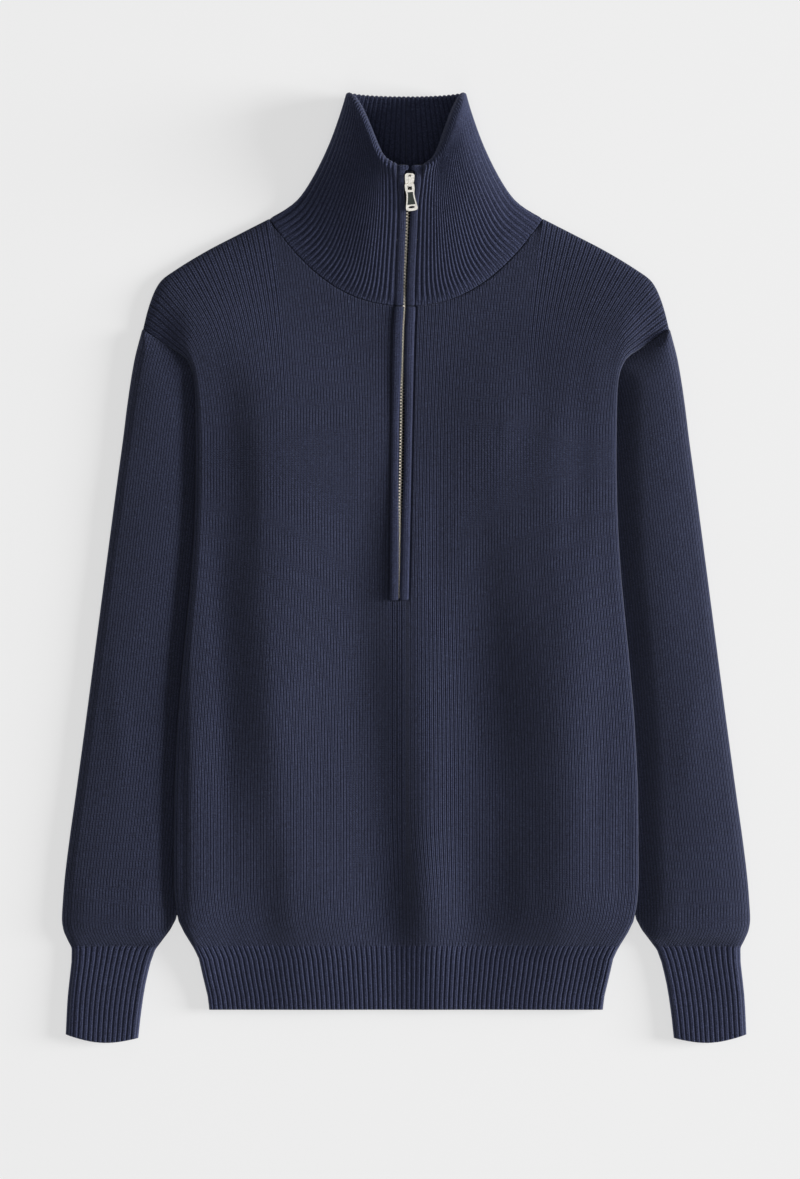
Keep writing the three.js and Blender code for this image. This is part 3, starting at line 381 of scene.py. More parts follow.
# %% [markdown]
# ## From a grid to cloth
# A knitted wall has an outer face, an inner face and rims between them. Both faces share
# one grid of points; cells may be left out, as along the zip's slot, and every side of a
# cell that has no neighbour gets a strip of rim. The UV map counts stitches: wales, the
# columns of stitches, across and courses, the rows, along the cloth.

# %% From a grid to cloth
WALE = 2.6
COURSE = 1.95
PANEL_WALES = 140


def wall_faces(keep, wrap):
    """Quads of the outer face, of the inner face turned over, and of the rims."""
    rows, columns = keep.shape[0] + 1, keep.shape[1] + (0 if wrap else 1)
    index = np.arange(rows * columns).reshape(rows, columns)
    if wrap:
        index = np.hstack([index, index[:, :1]])
    a, b, c, d = index[:-1, :-1], index[:-1, 1:], index[1:, 1:], index[1:, :-1]
    n = rows * columns
    around = np.pad(keep, ((1, 1), (0, 0)))
    beside = np.pad(keep, ((0, 0), (1, 1)), mode="wrap" if wrap else "constant")
    faces = [np.stack([a, b, c, d], -1)[keep], np.stack([d, c, b, a], -1)[keep] + n]
    for start, end, neighbour in (
        (a, b, around[:-2]), (c, d, around[2:]), (b, c, beside[:, 2:]), (d, a, beside[:, :-2]),
    ):
        open_side = keep & ~neighbour
        faces.append(np.stack([end, start, start + n, end + n], -1)[open_side])
    return np.concatenate(faces)


def stitch_count(points, ribs=0.0):
    """Courses along each column: its length so far without the ribs, over one course."""
    length = np.linalg.norm(np.diff(points - np.multiply.outer(ribs, (0, 0, 1)), axis=0), axis=2)
    return np.concatenate([np.zeros((1, points.shape[1])), np.cumsum(length, axis=0)]) / COURSE


def cloth(name, outer, inner, wales, courses, keep=None, wrap=False, body="garment"):
    """A closed wall from two grids of points in millimetres, with its stitches as UV."""
    rows, columns = outer.shape[:2]
    if keep is None:
        keep = np.ones((rows - 1, columns - (0 if wrap else 1)), bool)
    faces = wall_faces(keep, wrap)
    points = metres(np.concatenate([outer, inner]))
    used = np.unique(faces)
    renumber = np.zeros(len(points), int)
    renumber[used] = np.arange(len(used))
    mesh = bpy.data.meshes.new(name)
    mesh.vertices.add(len(used))
    mesh.vertices.foreach_set("co", points[used].ravel())
    mesh.loops.add(faces.size)
    mesh.loops.foreach_set("vertex_index", renumber[faces].ravel())
    mesh.polygons.add(len(faces))
    mesh.polygons.foreach_set("loop_start", np.arange(0, faces.size, 4))
    mesh.polygons.foreach_set("use_smooth", np.ones(len(faces), bool))
    mesh.update(calc_edges=True)
    stitches = np.stack([wales.ravel(), courses.ravel()], -1)
    stitches = np.concatenate([stitches, stitches])[faces]
    if wrap:
        jump = stitches[:, :, 0].max(1) - stitches[:, :, 0].min(1) > wales.max() / 2
        low = stitches[:, :, 0] < wales.max() / 2
        stitches[:, :, 0] += np.where(jump[:, None] & low, wales.max() + wales.max() / columns, 0)
    layer = mesh.uv_layers.new(name="stitches")
    layer.data.foreach_set("uv", stitches.reshape(-1, 2).ravel())
    mesh.validate()
    piece = show(name, mesh)
    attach(piece, body)
    print(name, "triangles:", 2 * len(faces))
    return piece


# %% [markdown]
# ## Front and back panels
# Each panel is drawn in its own two numbers: u runs across from side to side, v runs up
# from the hem (0) by the chest (1) to the neck and shoulders (2). Below the chest the
# wales are straight; above it they fan out to the shoulder, as they do in the photo.

# %% Plan of a panel
def front_neck(x):
    """The front neckline: a deep curve, y rising with |x|^2.3."""
    return NECK_FRONT_Y + (NECK_SIDE_Y - NECK_FRONT_Y) * (np.abs(x) / NECK_HALF) ** 2.3


def back_neck(x):
    """The back neckline: a shallow curve, y rising with |x|^3.2."""
    return NECK_BACK_Y + (NECK_SIDE_Y - NECK_BACK_Y) * (np.abs(x) / NECK_HALF) ** 3.2


# pull of the cubic where it leaves the chest and meets the shoulder's end, and its lean there
START_PULL = 200
END_PULL = 144
END_LEAN = math.radians(57)


def panel_plan(u, v, neck):
    """x and y of a panel: straight to the chest, then a cubic from it to the top edge."""
    a = np.abs(u)
    y_low = mix(HEM_Y, CHEST_Y, np.minimum(v, 1))
    t = np.clip(v - 1, 0, 1)
    in_neck = a < NECK_U
    s = np.clip((a - NECK_U) / (1 - NECK_U), 0, 1)
    top_x = np.where(in_neck, NECK_HALF * a / NECK_U, read(SHOULDER, s))
    top_y = np.where(in_neck, neck(top_x), read(SHOULDER, s, 2))
    rise = top_y - CHEST_Y
    start = np.where(in_neck, rise, START_PULL)
    end = np.where(in_neck, rise, mix(START_PULL, END_PULL, s))
    lean = np.radians(np.where(in_neck, 10 * a / NECK_U, 10 + 47 * s**1.3))
    h0 = 2 * t**3 - 3 * t**2 + 1
    h1 = t**3 - 2 * t**2 + t
    h2 = 3 * t**2 - 2 * t**3
    h3 = t**3 - t**2
    chest = half_width(CHEST_Y)
    x_high = h0 * a * chest + h2 * top_x + h3 * end * np.sin(lean)
    y_high = h0 * CHEST_Y + h1 * start + h2 * top_y + h3 * end * np.cos(lean)
    _, end_x, end_y = SHOULDER[-1]
    edge_x = h0 * chest + h2 * end_x + h3 * END_PULL * math.sin(END_LEAN)
    edge_y = h0 * CHEST_Y + h1 * START_PULL + h2 * end_y + h3 * END_PULL * math.cos(END_LEAN)
    x_high = x_high + a**7 * (read(UPPER_EDGE, t) - edge_x)
    y_high = y_high + a**7 * (read(UPPER_EDGE, t, 2) - edge_y)
    x = np.where(v <= 1, a * half_width(y_low), x_high)
    return np.sign(u) * x, np.where(v <= 1, y_low, y_high)


def at_shoulder(a, v):
    """How much of the shoulder's own edge a place has, against the neckline's."""
    return np.where(v > 1, smooth((a - 0.5) / 0.06), 0)


def body_heights(u, v, x, y, side=0, top=0):
    """Heights of the front's and back's outer faces, rolled down at the side and shoulder."""
    a = np.abs(u)
    from_side = (1 - a) * half_width(np.minimum(y, CHEST_Y)) + side
    level = read(SIDE_EDGE, v)
    closed = read(SIDE_EDGE, v, 3)
    low = lying(x, y)
    curl = rounded(from_side / read(SIDE_EDGE, v, 2))
    front = mix(level + HALF_GAP, low + swell(x, y), curl)
    back = mix(mix(low, level - HALF_GAP, closed), low, curl)
    drop = mix(1, rounded(((2 - v) * 135 + top) / 12), at_shoulder(a, v))
    return mix(SEAM_Z + HALF_GAP, front, drop), mix(SEAM_Z - HALF_GAP, back, drop), level, closed


def inner_plan(u, v, neck):
    """Where the inner face lies in plan: a wall's thickness in from a folded edge."""
    a = np.abs(u)
    x, y = panel_plan(u, v, neck)
    side = WALL * read(SIDE_EDGE, v, 3) * a**8
    top = WALL * np.clip(v - 1, 0, 1) ** 12 * at_shoulder(a, v)
    tilt = np.radians(mix(27, 75, smooth((a - NECK_U - 0.2) / 0.25)))
    return x - np.sign(u) * (side + top * np.sin(tilt)), y - top * np.cos(tilt), side, top


def zip_x(y):
    """x of the zip's line."""
    return read(ZIP_LINE, y, 1)


def slot_half(y):
    """Half the width of the slot that the zip and its bands fill."""
    return read(ZIP_LINE, y, 2)


def beside_slot(u, v, x, y, neck):
    """Eases the middle columns across so that two of them become the slot's edges."""
    edge_u = np.sign(u) * SLOT_U
    plain, _ = panel_plan(edge_u, v, neck)
    wanted = zip_x(np.maximum(y, SLOT_END_Y)) + np.sign(u) * slot_half(np.maximum(y, SLOT_END_Y))
    move = (wanted - plain) * smooth((y - RIB_TOP_Y) / 120)
    a = np.abs(u)
    share = np.where(a < SLOT_U, a / SLOT_U, 1 - smooth((a - SLOT_U) / 0.22))
    return x + move * share


def rib(count):
    """One rib for each whole number: a broad crest and a narrow groove, |sin|^0.7."""
    return np.abs(np.sin(np.pi * count)) ** 0.7


def way_up(y):
    """The v of a height below the chest."""
    return (np.asarray(y, float) - HEM_Y) / (CHEST_Y - HEM_Y)


def panel_rows(spacing):
    """Rows up a panel: close at its edges and at the hem's top, a spacing apart between."""
    hem = way_up([HEM_Y, HEM_Y + 0.4, HEM_Y + 1.2, HEM_Y + 3, HEM_Y + 12, HEM_Y + 28, HEM_Y + 44])
    turn = way_up([-329.5, -327.5, -325.5, -323.5, -321])
    low = way_up(np.linspace(-314, SLOT_END_Y, round(286 / spacing)))
    mid = way_up(np.linspace(SLOT_END_Y, CHEST_Y, round(128 / spacing) + 1)[1:])
    high = np.linspace(1, 1.94, round(190 / spacing))[1:]
    top = np.array([1.96, 1.975, 1.985, 1.992, 1.9965, 2])
    return np.concatenate([hem, turn, low, mid, high, top])


def panel_grid(columns, spacing):
    """u and v over a panel. No u is quite 0, so every column has a side."""
    u, v = np.meshgrid(np.linspace(-1, 1, columns + 1), panel_rows(spacing))
    return np.where(np.abs(u) < 1e-9, 1e-9, u), v


# %% Front panel
def end_roll(distance):
    """How far the cloth's outer face rolls down at a cut or joined edge."""
    return 1.1 * (1 - rounded(distance / 2.2))


def parting(a, x, y, level, closed):
    """Height between the two layers: just over the back's wall, and at a closed side its fold."""
    return mix(lying(x, y) + WALL + 0.2, level, closed * smooth((a - 0.985) / 0.015))


front_u, front_v = panel_grid(PANEL_COLUMNS, 9.2)
x, y = panel_plan(front_u, front_v, front_neck)
x = beside_slot(front_u, front_v, x, y, front_neck)
height, _, _, _ = body_heights(front_u, front_v, x, y)
hem_zone = 1 - smooth((y - RIB_TOP_Y + 3) / 5)
ribbed = 1.25 * rib((front_u + 1) * HEM_RIBS / 2) * hem_zone
neck_edge = (2 - front_v) * 130 + 40 * at_shoulder(np.abs(front_u), front_v)
slot_edge = np.abs(x - zip_x(y)) - slot_half(y) + 40 * (y < SLOT_END_Y + 0.1)
roll = end_roll(y - HEM_Y) + end_roll(neck_edge) + end_roll(np.maximum(slot_edge, 0))
front_outer = np.stack([x, y, height + ribbed - roll], -1)

x, y, side, top = inner_plan(front_u, front_v, front_neck)
x = beside_slot(front_u, front_v, x, y, front_neck)
inside, _, level, closed = body_heights(front_u, front_v, x, y, side, top)
a = np.abs(front_u)
z = np.maximum(inside - WALL + end_roll(y - HEM_Y), parting(a, x, y, level, closed) + HALF_GAP)
z = mix(z, SEAM_Z + HALF_GAP, at_shoulder(a, front_v) * smooth((front_v - 1.985) / 0.015))
front_inner = np.stack([x, y, np.minimum(z, front_outer[..., 2])], -1)

middle = (front_u[1:, 1:] + front_u[1:, :-1]) / 2
front_keep = (np.abs(middle) > SLOT_U) | (front_v[1:, 1:] <= way_up(SLOT_END_Y) + 1e-9)
front_courses = stitch_count(front_outer, ribbed)
front_wales = (front_u + 1) * PANEL_WALES / 2
front_panel = cloth("front_cloth", front_outer, front_inner, front_wales, front_courses, front_keep)
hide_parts("front_panel")


# %% Back panel
def hem_roll(y):
    """How far the back's two faces round off towards each other at the hem."""
    return 0.8 * (1 - rounded((y - HEM_Y) / 1.5))


back_u, back_v = panel_grid(168, 14)
x, y = panel_plan(back_u, back_v, back_neck)
_, depth, _, _ = body_heights(back_u, back_v, x, y)
back_outer = np.stack([x, y, depth + hem_roll(y)], -1)
x, y, side, top = inner_plan(back_u, back_v, back_neck)
_, inside, level, closed = body_heights(back_u, back_v, x, y, side, top)
a = np.abs(back_u)
z = inside + WALL - hem_roll(y)
z = np.minimum(z, parting(a, x, y, level, closed) - HALF_GAP)
z = mix(z, SEAM_Z - HALF_GAP, at_shoulder(a, back_v) * smooth((back_v - 1.985) / 0.015))
back_inner = np.stack([x, y, z], -1)
back_courses = stitch_count(back_outer)
back_wales = (back_u + 1) * PANEL_WALES / 2
back_panel = cloth("back_cloth", back_inner, back_outer, back_wales, back_courses)
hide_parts("back_panel")


# %% [markdown]
# ## Sleeves
# A sleeve is one flattened tube, drawn ring by ring from the armhole to the cuff. Around
# a ring, a place runs 0 to 0.5 over the top from the inner edge and back under it. The
# inner part lies pressed under the body, and the cuff's ribs stand on the top only.

# %% Sleeves
def sleeve_top(x, y, from_inner, width, ring, fullness):
    """Height of the sleeve's top: low under the body, full beside it, rolled at both edges."""
    beside = np.minimum(below_seam(x, y), x - half_width(np.clip(y, -303, CHEST_Y)) - 1)
    shown = np.where(y < -303, smooth((-303 - y) / 25), 0)
    free = np.maximum(smooth(beside / 22), shown)
    at_cuff = smooth((ring - CUFF_RING + 2) / 2)
    shown_part = np.clip(beside / (np.abs(beside) + width - from_inner + 0.001), 0, 1)
    dome = 4 * fullness * shown_part * (1 - shown_part) * (1 - at_cuff)
    puff = 1.6 * bell((y + 296) / 22) * smooth((width - from_inner) / 20)
    crinkle = 0.4 * np.sin(y / 23 + x / 31) * np.sin(y / 51 - x / 17) * smooth((y + 320) / 40)
    crinkle = crinkle + 0.8 * bell((x - 0.11 * y - 262) / 9) * np.sin(y / 60 + 0.7) ** 2
    crinkle = (puff + crinkle) * (1 - smooth((-y - 316) / 8))
    sewn = 2.6 * (1 - smooth(below_seam(x, y) / 20)) * smooth((y - 60) / 50) * smooth((214 - y) / 30)
    high = mix(PRESSED, mix(SLEEVE_TOP, CUFF_TOP, at_cuff) + crinkle, free) + dome + sewn
    curl = rounded(from_inner / 4) * rounded((width - from_inner) / mix(4, 9, free))
    return mix(PRESSED / 2, high, curl)


def sleeve_face(a, ring, inset, fullness):
    """Points of the sleeve's outer face, or of its inner one where inset is the wall."""
    outer_y = np.interp(ring, SLEEVE_RINGS[:, 0], SLEEVE_RINGS[:, 1])
    inner_y = np.interp(ring, SLEEVE_RINGS[:, 0], SLEEVE_RINGS[:, 2])
    outer_x = read(SLEEVE_OUTER, outer_y)
    inner_x = np.interp(inner_y, SLEEVE_INNER[:, 0], SLEEVE_INNER[:, 1])
    width = np.hypot(outer_x - inner_x, outer_y - inner_y)
    over = a < 0.5 + 1e-9
    place = np.where(over, 2 * a, 2 * (1 - a)) * width
    shrunk = inset + (width - 2 * inset) * place / width
    t = shrunk / width
    x = mix(inner_x, outer_x, t)
    sag = 5.5 * np.sin(np.pi * t) * smooth((ring - 16) / 1)
    y = mix(inner_y, outer_y, t) - sag
    start = np.where(ring < 0.01, SEAM_OVERLAP, 0)
    top = sleeve_top(x, y, shrunk, width, ring, fullness) - inset
    low = PRESSED / 2 * (1 - rounded(shrunk / 4) * rounded((width - shrunk) / 4)) + inset
    z = np.where(over, top, low)
    face = np.stack([x + start * ARM_OUT[0], y + start * ARM_OUT[1], z], -1)
    return face, place, width, over


CUFF_COLUMNS = CUFF_RIBS * 8


def around_sleeve():
    """Places around a ring: many over the top for the ribs, fewer below."""
    edge = np.array([0, 0.004, 0.012, 0.024])
    top = np.linspace(0.035, 0.965, CUFF_COLUMNS + 1)
    over = np.concatenate([edge, top, 1 - edge[::-1]]) / 2
    under = np.concatenate([[0.004, 0.012, 0.03], np.linspace(0.08, 0.92, 16), [0.97, 0.988, 0.996]]) / 2
    return np.concatenate([over, 0.5 + under])


sleeve_rings = np.concatenate([
    [0, 0.02, 0.06], np.linspace(0.12, 10, 64), np.linspace(10.1, 12.8, 14), [12.9, 13, 13.2, 13.5, 14],
    np.linspace(14.4, 16.7, 7), [16.9, 16.96, 16.985, 17],
])


def sleeve(name, side):
    """One sleeve: side is -1 on the left and 1 on the right."""
    a, ring = np.meshgrid(around_sleeve(), sleeve_rings)
    outer, place, width, over = sleeve_face(a, ring, 0, SLEEVE_FULLNESS[side])
    t = (place / width - 0.035) / 0.93
    on_cuff = smooth((ring - 12.7) / 0.6) * (over & (t > 0) & (t < 1))
    ribs = 1.15 * rib(np.clip(t, 0, 1) * CUFF_RIBS) * on_cuff
    mouth = 1.3 * (1 - rounded((17 - ring) * 24 / 1.5)) * np.where(over, 1, -0.6)
    outer[..., 2] += ribs - mouth
    inner, _, _, _ = sleeve_face(a, ring, WALL, SLEEVE_FULLNESS[side])
    inner[..., 2] += mouth
    from_fold = np.where(over, width - place, width + place)
    body_wales = from_fold / WALE
    cuff_wales = np.where(over, t * CUFF_RIBS, CUFF_RIBS + (1 - t) * CUFF_RIBS)
    wales = np.where(ring > 12.95, cuff_wales, body_wales)
    courses = stitch_count(outer, ribs)
    turn = np.array([side, 1, 1])
    grids = [grid[::-1, ::side] for grid in (outer * turn, inner * turn, wales, courses)]
    return cloth(name, *grids, wrap=True)


sleeve_left = sleeve("sleeve_left_cloth", -1)
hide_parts("sleeve_left")
sleeve_right = sleeve("sleeve_right_cloth", 1)
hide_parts("sleeve_right")


# %% [markdown]
# ## Collar
# The collar is a ribbed tube that stands up at the front and lies down at the back, so
# its mouth shows the inside of its back. It is drawn by q around each half, from the zip
# (0) by the side fold (1) to the centre back (2), and r up from its seam (0) to its rim
# (1). The ribs fan out from the rim to the neckline.

# %% Sizes of the collar
COLLAR_WALL = 3.3
COLLAR_TOP_Y = 344.5
COLLAR_TOP_Z = 46
COLLAR_BACK_Y = 404.6
COLLAR_SIDE_Z = 16
COLLAR_RIBS = 29
BACK_RIBS = 13
BASE_Y = NECK_FRONT_Y + 0.4
BASE_SIDE = (117.5, 300.5)
CENTRE_Z = 9.4
# y, half width of the collar in outline
COLLAR_SIDE = np.array([
    (300.5, 117.5), (303.5, 113.5), (307.5, 106.6), (316, 95), (324.7, 87.7), (337.6, 79.6),
    (350.5, 72.7), (367.7, 64.9), (384.9, 58.5), (397.8, 54.2), (408, 51.2),
])
# part of the way along the front rim, across, up
RIM = np.array([
    (0, 0, 0), (0.09, 0.2, 0.08), (0.16, 0.31, 0.165), (0.28, 0.41, 0.307), (0.53, 0.564, 0.575),
    (0.75, 0.72, 0.81), (0.89, 0.86, 0.945), (1, 1, 1),
])


# %% Collar's form
def rising(r):
    """How far up a row of the collar has come: slow at its base, then even."""
    return (r - 0.12 * (1 - np.exp(-r / 0.12))) / (1 - 0.12 * (1 - math.exp(-1 / 0.12)))


def seam_line(neck, x):
    """The neckline, moved up by the seam's gap."""
    slope = neck(x + 0.5) - neck(x - 0.5)
    return neck(x) + (SEAM_GAP + 0.04) * np.hypot(1, slope)


def collar_point(q, r, side):
    """A point of the collar's outer face, its front half or its back half."""
    rise = rising(r)
    side_y = mix(BASE_SIDE[1], 408, r)
    side_x = read(COLLAR_SIDE, side_y)
    side_z = mix(SEAM_Z, COLLAR_SIDE_Z, rise)
    held = 1 - smooth(r * 1.6)

    f = np.clip(q, 0, 1)
    y0 = mix(BASE_Y, COLLAR_TOP_Y, r)
    x0 = slot_half(y0) + side * zip_x(y0)
    base = f**0.86
    t = mix(base, read(RIM, f), r**1.3)
    up = mix(t**2.3, read(RIM, t, 2, 1), r**1.3)
    over = np.sqrt(np.maximum(0, 1 - f ** mix(18, 2.4, r**0.6)))
    base_x = slot_half(BASE_Y) + side * zip_x(BASE_Y)
    seam = seam_line(front_neck, mix(base_x, BASE_SIDE[0], base))
    seam = seam - mix(BASE_Y, BASE_SIDE[1], base**2.3)
    bulge = 3 * np.sin(np.pi * r) * np.sin(np.pi * f)
    front = (mix(x0, side_x, t), mix(y0, side_y, up) + seam * held,
             mix(side_z, mix(CENTRE_Z, COLLAR_TOP_Z, rise), over) + bulge)

    g = np.clip(2 - q, 0, 1)
    over = np.sqrt(np.maximum(0, 1 - g ** mix(20, 3.2, r**0.7)))
    seam = seam_line(back_neck, BASE_SIDE[0] * g) - mix(NECK_BACK_Y, BASE_SIDE[1], g**2.2)
    seam = seam * held * (1 - smooth((g - 0.96) / 0.04))
    back = (side_x * g, mix(mix(NECK_BACK_Y, COLLAR_BACK_Y, r), side_y, g**2.2) + seam,
            mix(side_z, 0, over))
    x, y, z = (np.where(q <= 1, a, b) for a, b in zip(front, back))
    return np.stack([side * x, y, z], -1)


def collar_normal(q, r, side):
    """Outwards from the collar, from small steps along it and up it."""
    step = 0.004
    after, before = np.minimum(q + step, 2), np.maximum(q - step, 0)
    above, below = np.minimum(r + step, 1), np.maximum(r - step, 0)
    along = collar_point(after, r, side) - collar_point(before, r, side)
    up = collar_point(q, above, side) - collar_point(q, below, side)
    normal = np.cross(along, up) * np.asarray(side)[..., None]
    normal = normal / np.linalg.norm(normal, axis=-1, keepdims=True)
    return np.where((q > 1.97)[..., None], np.array([0, 0, -1.0]), normal), up


# %% Collar's cloth
front_half = np.linspace(0, 1, COLLAR_RIBS * 8 + 1)
back_half = np.linspace(1, 2, BACK_RIBS * 8 + 1)[1:]
half_way = np.concatenate([front_half, back_half])
collar_q = np.concatenate([half_way, half_way[-2::-1]])
collar_side = np.concatenate([-np.ones(len(half_way)), np.ones(len(half_way) - 1)])
collar_levels = np.concatenate([
    [0, 0.004, 0.012, 0.024, 0.05], np.linspace(0.08, 0.87, 22),
    [0.89, 0.905, 0.92, 0.935, 0.948, 0.96, 0.97, 0.978, 0.985, 0.991, 0.9955, 0.9985, 1],
])
# from seam to rim; how far the rim's roll stands out, more on the right, and in
RIM_LENGTH = 118
RIM_OUTWARD = 3.6
RIGHT_ROLL = 3.2
RIM_INWARD = 1.4
ROLL_LENGTH = 14
q, r = np.meshgrid(collar_q, collar_levels)
side = np.broadcast_to(collar_side, q.shape)
point = collar_point(q, r, side)
normal, up = collar_normal(q, r, side)
up = up / np.linalg.norm(up, axis=-1, keepdims=True)
count = np.where(q <= 1, q * COLLAR_RIBS, COLLAR_RIBS + (q - 1) * BACK_RIBS)
collar_rib = rib(count)
on_back = smooth((q - 0.96) / 0.08)
begin = smooth(r * 12)
outer_rib = mix(1.2 * collar_rib, -0.8 * (1 - collar_rib), on_back) * begin
inner_rib = 0.8 * collar_rib * smooth(r * 8) * smooth((q - 0.02) / 0.03)
from_rim = (1 - r) * RIM_LENGTH
rolled = (side > 0) * smooth((q - 0.08) / 0.25) * (1 - on_back)
roll_length = ROLL_LENGTH + 10 * rolled
outward = (RIM_OUTWARD + RIGHT_ROLL * rolled) * (1 - on_back)
thick = smooth((roll_length - from_rim) / roll_length) * (1 - bell((q - 1) / 0.12))
turn = (COLLAR_WALL + (outward + RIM_INWARD) * thick) / 2
edge = 1 - rounded(from_rim / turn)
foot = 0.5 * (1 - rounded(r * RIM_LENGTH / 1.6))
thin = 0.74 * bell((q - 1) / 0.1) * (1 - smooth(r * 2.4))
scallop = (1.1 * collar_rib * edge)[..., None] * up
lift = outer_rib * (1 - edge) + outward * thick - turn * edge - foot * (1 - on_back)
drop = COLLAR_WALL * (1 - thin) + RIM_INWARD * thick - turn * edge + inner_rib * (1 - edge)
collar_outer = point + lift[..., None] * normal + scallop
collar_inner = point - drop[..., None] * normal + scallop
collar_courses = stitch_count(point)
collar_wales = np.where(side < 0, count, -count)
collar = cloth("collar_cloth", collar_outer, collar_inner, collar_wales, collar_courses)
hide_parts("collar")


# %% [markdown]
# ## The zip's line
# Everything of the zip follows one line up the front. At each height it has a point on
# the cloth's face, a direction along the line and a direction out of the cloth, so the
# bands, the tape and the teeth can all be given as heights over that line.

# %% The zip's line
def centre_z(y):
    """Height of the cloth beside the zip: the front's face, then the collar's."""
    way = np.clip((y - NECK_FRONT_Y) / (COLLAR_TOP_Y - NECK_FRONT_Y), 0, 1.2)
    on_collar = mix(CENTRE_Z, COLLAR_TOP_Z, rising(way))
    low = np.minimum(y, NECK_FRONT_Y)
    on_front = lying(0 * low, low) + (swell(zip_x(low) - 9, low) + swell(zip_x(low) + 9, low)) / 2
    return np.where(y > NECK_FRONT_Y, on_collar, on_front)


def zip_place(y, x, h):
    """A point x across from the zip's line and h out of the cloth."""
    step = 0.5
    dy = 2 * step + 0 * y
    dz = centre_z(y + step) - centre_z(y - step)
    length = np.hypot(dy, dz)
    return np.stack([zip_x(y) + x, y - h * dz / length, centre_z(y) + h * dy / length], -1)


# %% [markdown]
# ## Knitted bands
# A narrow knitted band runs up each side of the zip and rolls over its edge. Its section
# is a rounded bar; fine ribs cross it, 1.7 mm apart, each a shallow wave in height.

# %% Knitted bands
def band_section(parts):
    """Around the bar: x from -1 to 1 and h from 0 to 1, as a rounded box."""
    turn = np.linspace(0, 2 * np.pi, parts, endpoint=False)
    x = np.sign(np.cos(turn)) * np.abs(np.cos(turn)) ** 0.75
    h = 0.5 + 0.5 * np.sign(np.sin(turn)) * np.abs(np.sin(turn)) ** 0.95
    return x, h


def tube(name, points, wales, courses, body="garment"):
    """A closed bar through rings of points, with both ends closed by one flat face each."""
    rings, parts = points.shape[:2]
    index = np.arange(rings * parts).reshape(rings, parts)
    right = np.roll(index, -1, axis=1)
    sides = np.stack([index[:-1], right[:-1], right[1:], index[1:]], -1).reshape(-1, 4)
    faces = sides.tolist() + [index[0, ::-1].tolist(), index[-1].tolist()]
    mesh = bpy.data.meshes.new(name)
    mesh.from_pydata(metres(points).tolist(), [], faces)
    mesh.polygons.foreach_set("use_smooth", np.ones(len(faces), bool))
    corner = np.zeros(len(mesh.loops), int)
    mesh.loops.foreach_get("vertex_index", corner)
    stitches = np.stack([wales.ravel(), courses.ravel()], -1)
    mesh.uv_layers.new(name="stitches").data.foreach_set("uv", stitches[corner].ravel())
    mesh.update()
    piece = show(name, mesh)
    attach(piece, body)
    print(name, "quads:", len(sides))
    return piece


BAND_LOW = -2.2
BAND_RIB = 1.7
BAND_PARTS = 24
# y, half the gap that shows between the bands
BAND_GAP = np.array([
    (-30, 0.4), (20, 0.8), (50, 1.5), (85, 2.2), (130, 2.3), (155, 1.6), (180, 1.1), (224, 1.1),
    (240, 1.4), (300, 1.7), (312, 3), (325, 4.4), (339, 4.4), (341, 1.3), (346, 1.1),
])


def band(name, side, y_from, y_to, high):
    """A band between two heights: rounded bar, fine cross ribs and rounded ends."""
    x, h = band_section(BAND_PARTS)
    y = np.linspace(y_from, y_to, int((y_to - y_from) / 0.42))[:, None] + 0 * x
    x, h = np.broadcast_to(x, y.shape), np.broadcast_to(h, y.shape)
    far = slot_half(y) - SEAM_GAP
    near = read(BAND_GAP, y)
    ends = rounded(np.minimum(y - y_from, y_to - y) / 1.6 + 0.02)
    wave = 0.3 * np.abs(np.sin(np.pi * y / BAND_RIB)) ** 0.8 * smooth((h - 0.4) / 0.3)
    across = side * (near + far) / 2 + x * (far - near) / 2 * mix(0.8, 1, ends)
    middle = mix(BAND_LOW, high, 0.45)
    out = middle + (mix(BAND_LOW, high, h) - middle) * mix(0.5, 1, ends) + wave - 0.12
    return tube(name, zip_place(y, across, out), (x + 1) * 2, y / COURSE)


band_list = [
    ("placket_band_left_cloth", -1, -28.2, 224.6, 2.3, "placket_band_left"),
    ("placket_band_right_cloth", 1, -28.2, 224.6, 2.4, "placket_band_right"),
    ("collar_band_left_cloth", -1, 225.4, 344.3, 1.1, "collar_band_left"),
    ("collar_band_right_cloth", 1, 225.4, 344.3, 1.5, "collar_band_right"),
]
bands = []
for name, side, y_from, y_to, high, node in band_list:
    piece = band(name, side, y_from, y_to, high)
    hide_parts(node)
    bands.append(piece)


# %% [markdown]
# ## Zip tape and teeth
# The teeth are small cast pieces clamped on the edges of a woven tape. One tooth is a
# short bar with chamfered corners; it is repeated at each step of the line, left and
# right in turn, with its own place and slope worked out all at once.

# %% Zip tape
TAPE_TOP = -3.6
TAPE_LOW = -4.4
tape_u, tape_y = np.meshgrid(np.linspace(-1, 1, 13), np.linspace(-27.5, 343.8, 190))
gone = (tape_y[1:, 1:] > 325) & (np.abs(tape_u[1:, 1:] + tape_u[1:, :-1]) < 1.0)
tape_x = tape_u * (slot_half(tape_y) - 0.6)
hole = np.abs(tape_u) < 0.52
tape_x = np.where((tape_y > 322) & hole, np.sign(tape_u) * np.minimum(np.abs(tape_x), 4.5), tape_x)
tape = cloth(
    "zip_tape_cloth", zip_place(tape_y, tape_x, TAPE_TOP), zip_place(tape_y, tape_x, TAPE_LOW),
    tape_u * 12, tape_y / 0.7, ~gone,
)
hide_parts("zip_tape")


# %% Zip teeth
TOOTH_PITCH = 2.7
TEETH_HEIGHT = -2.5


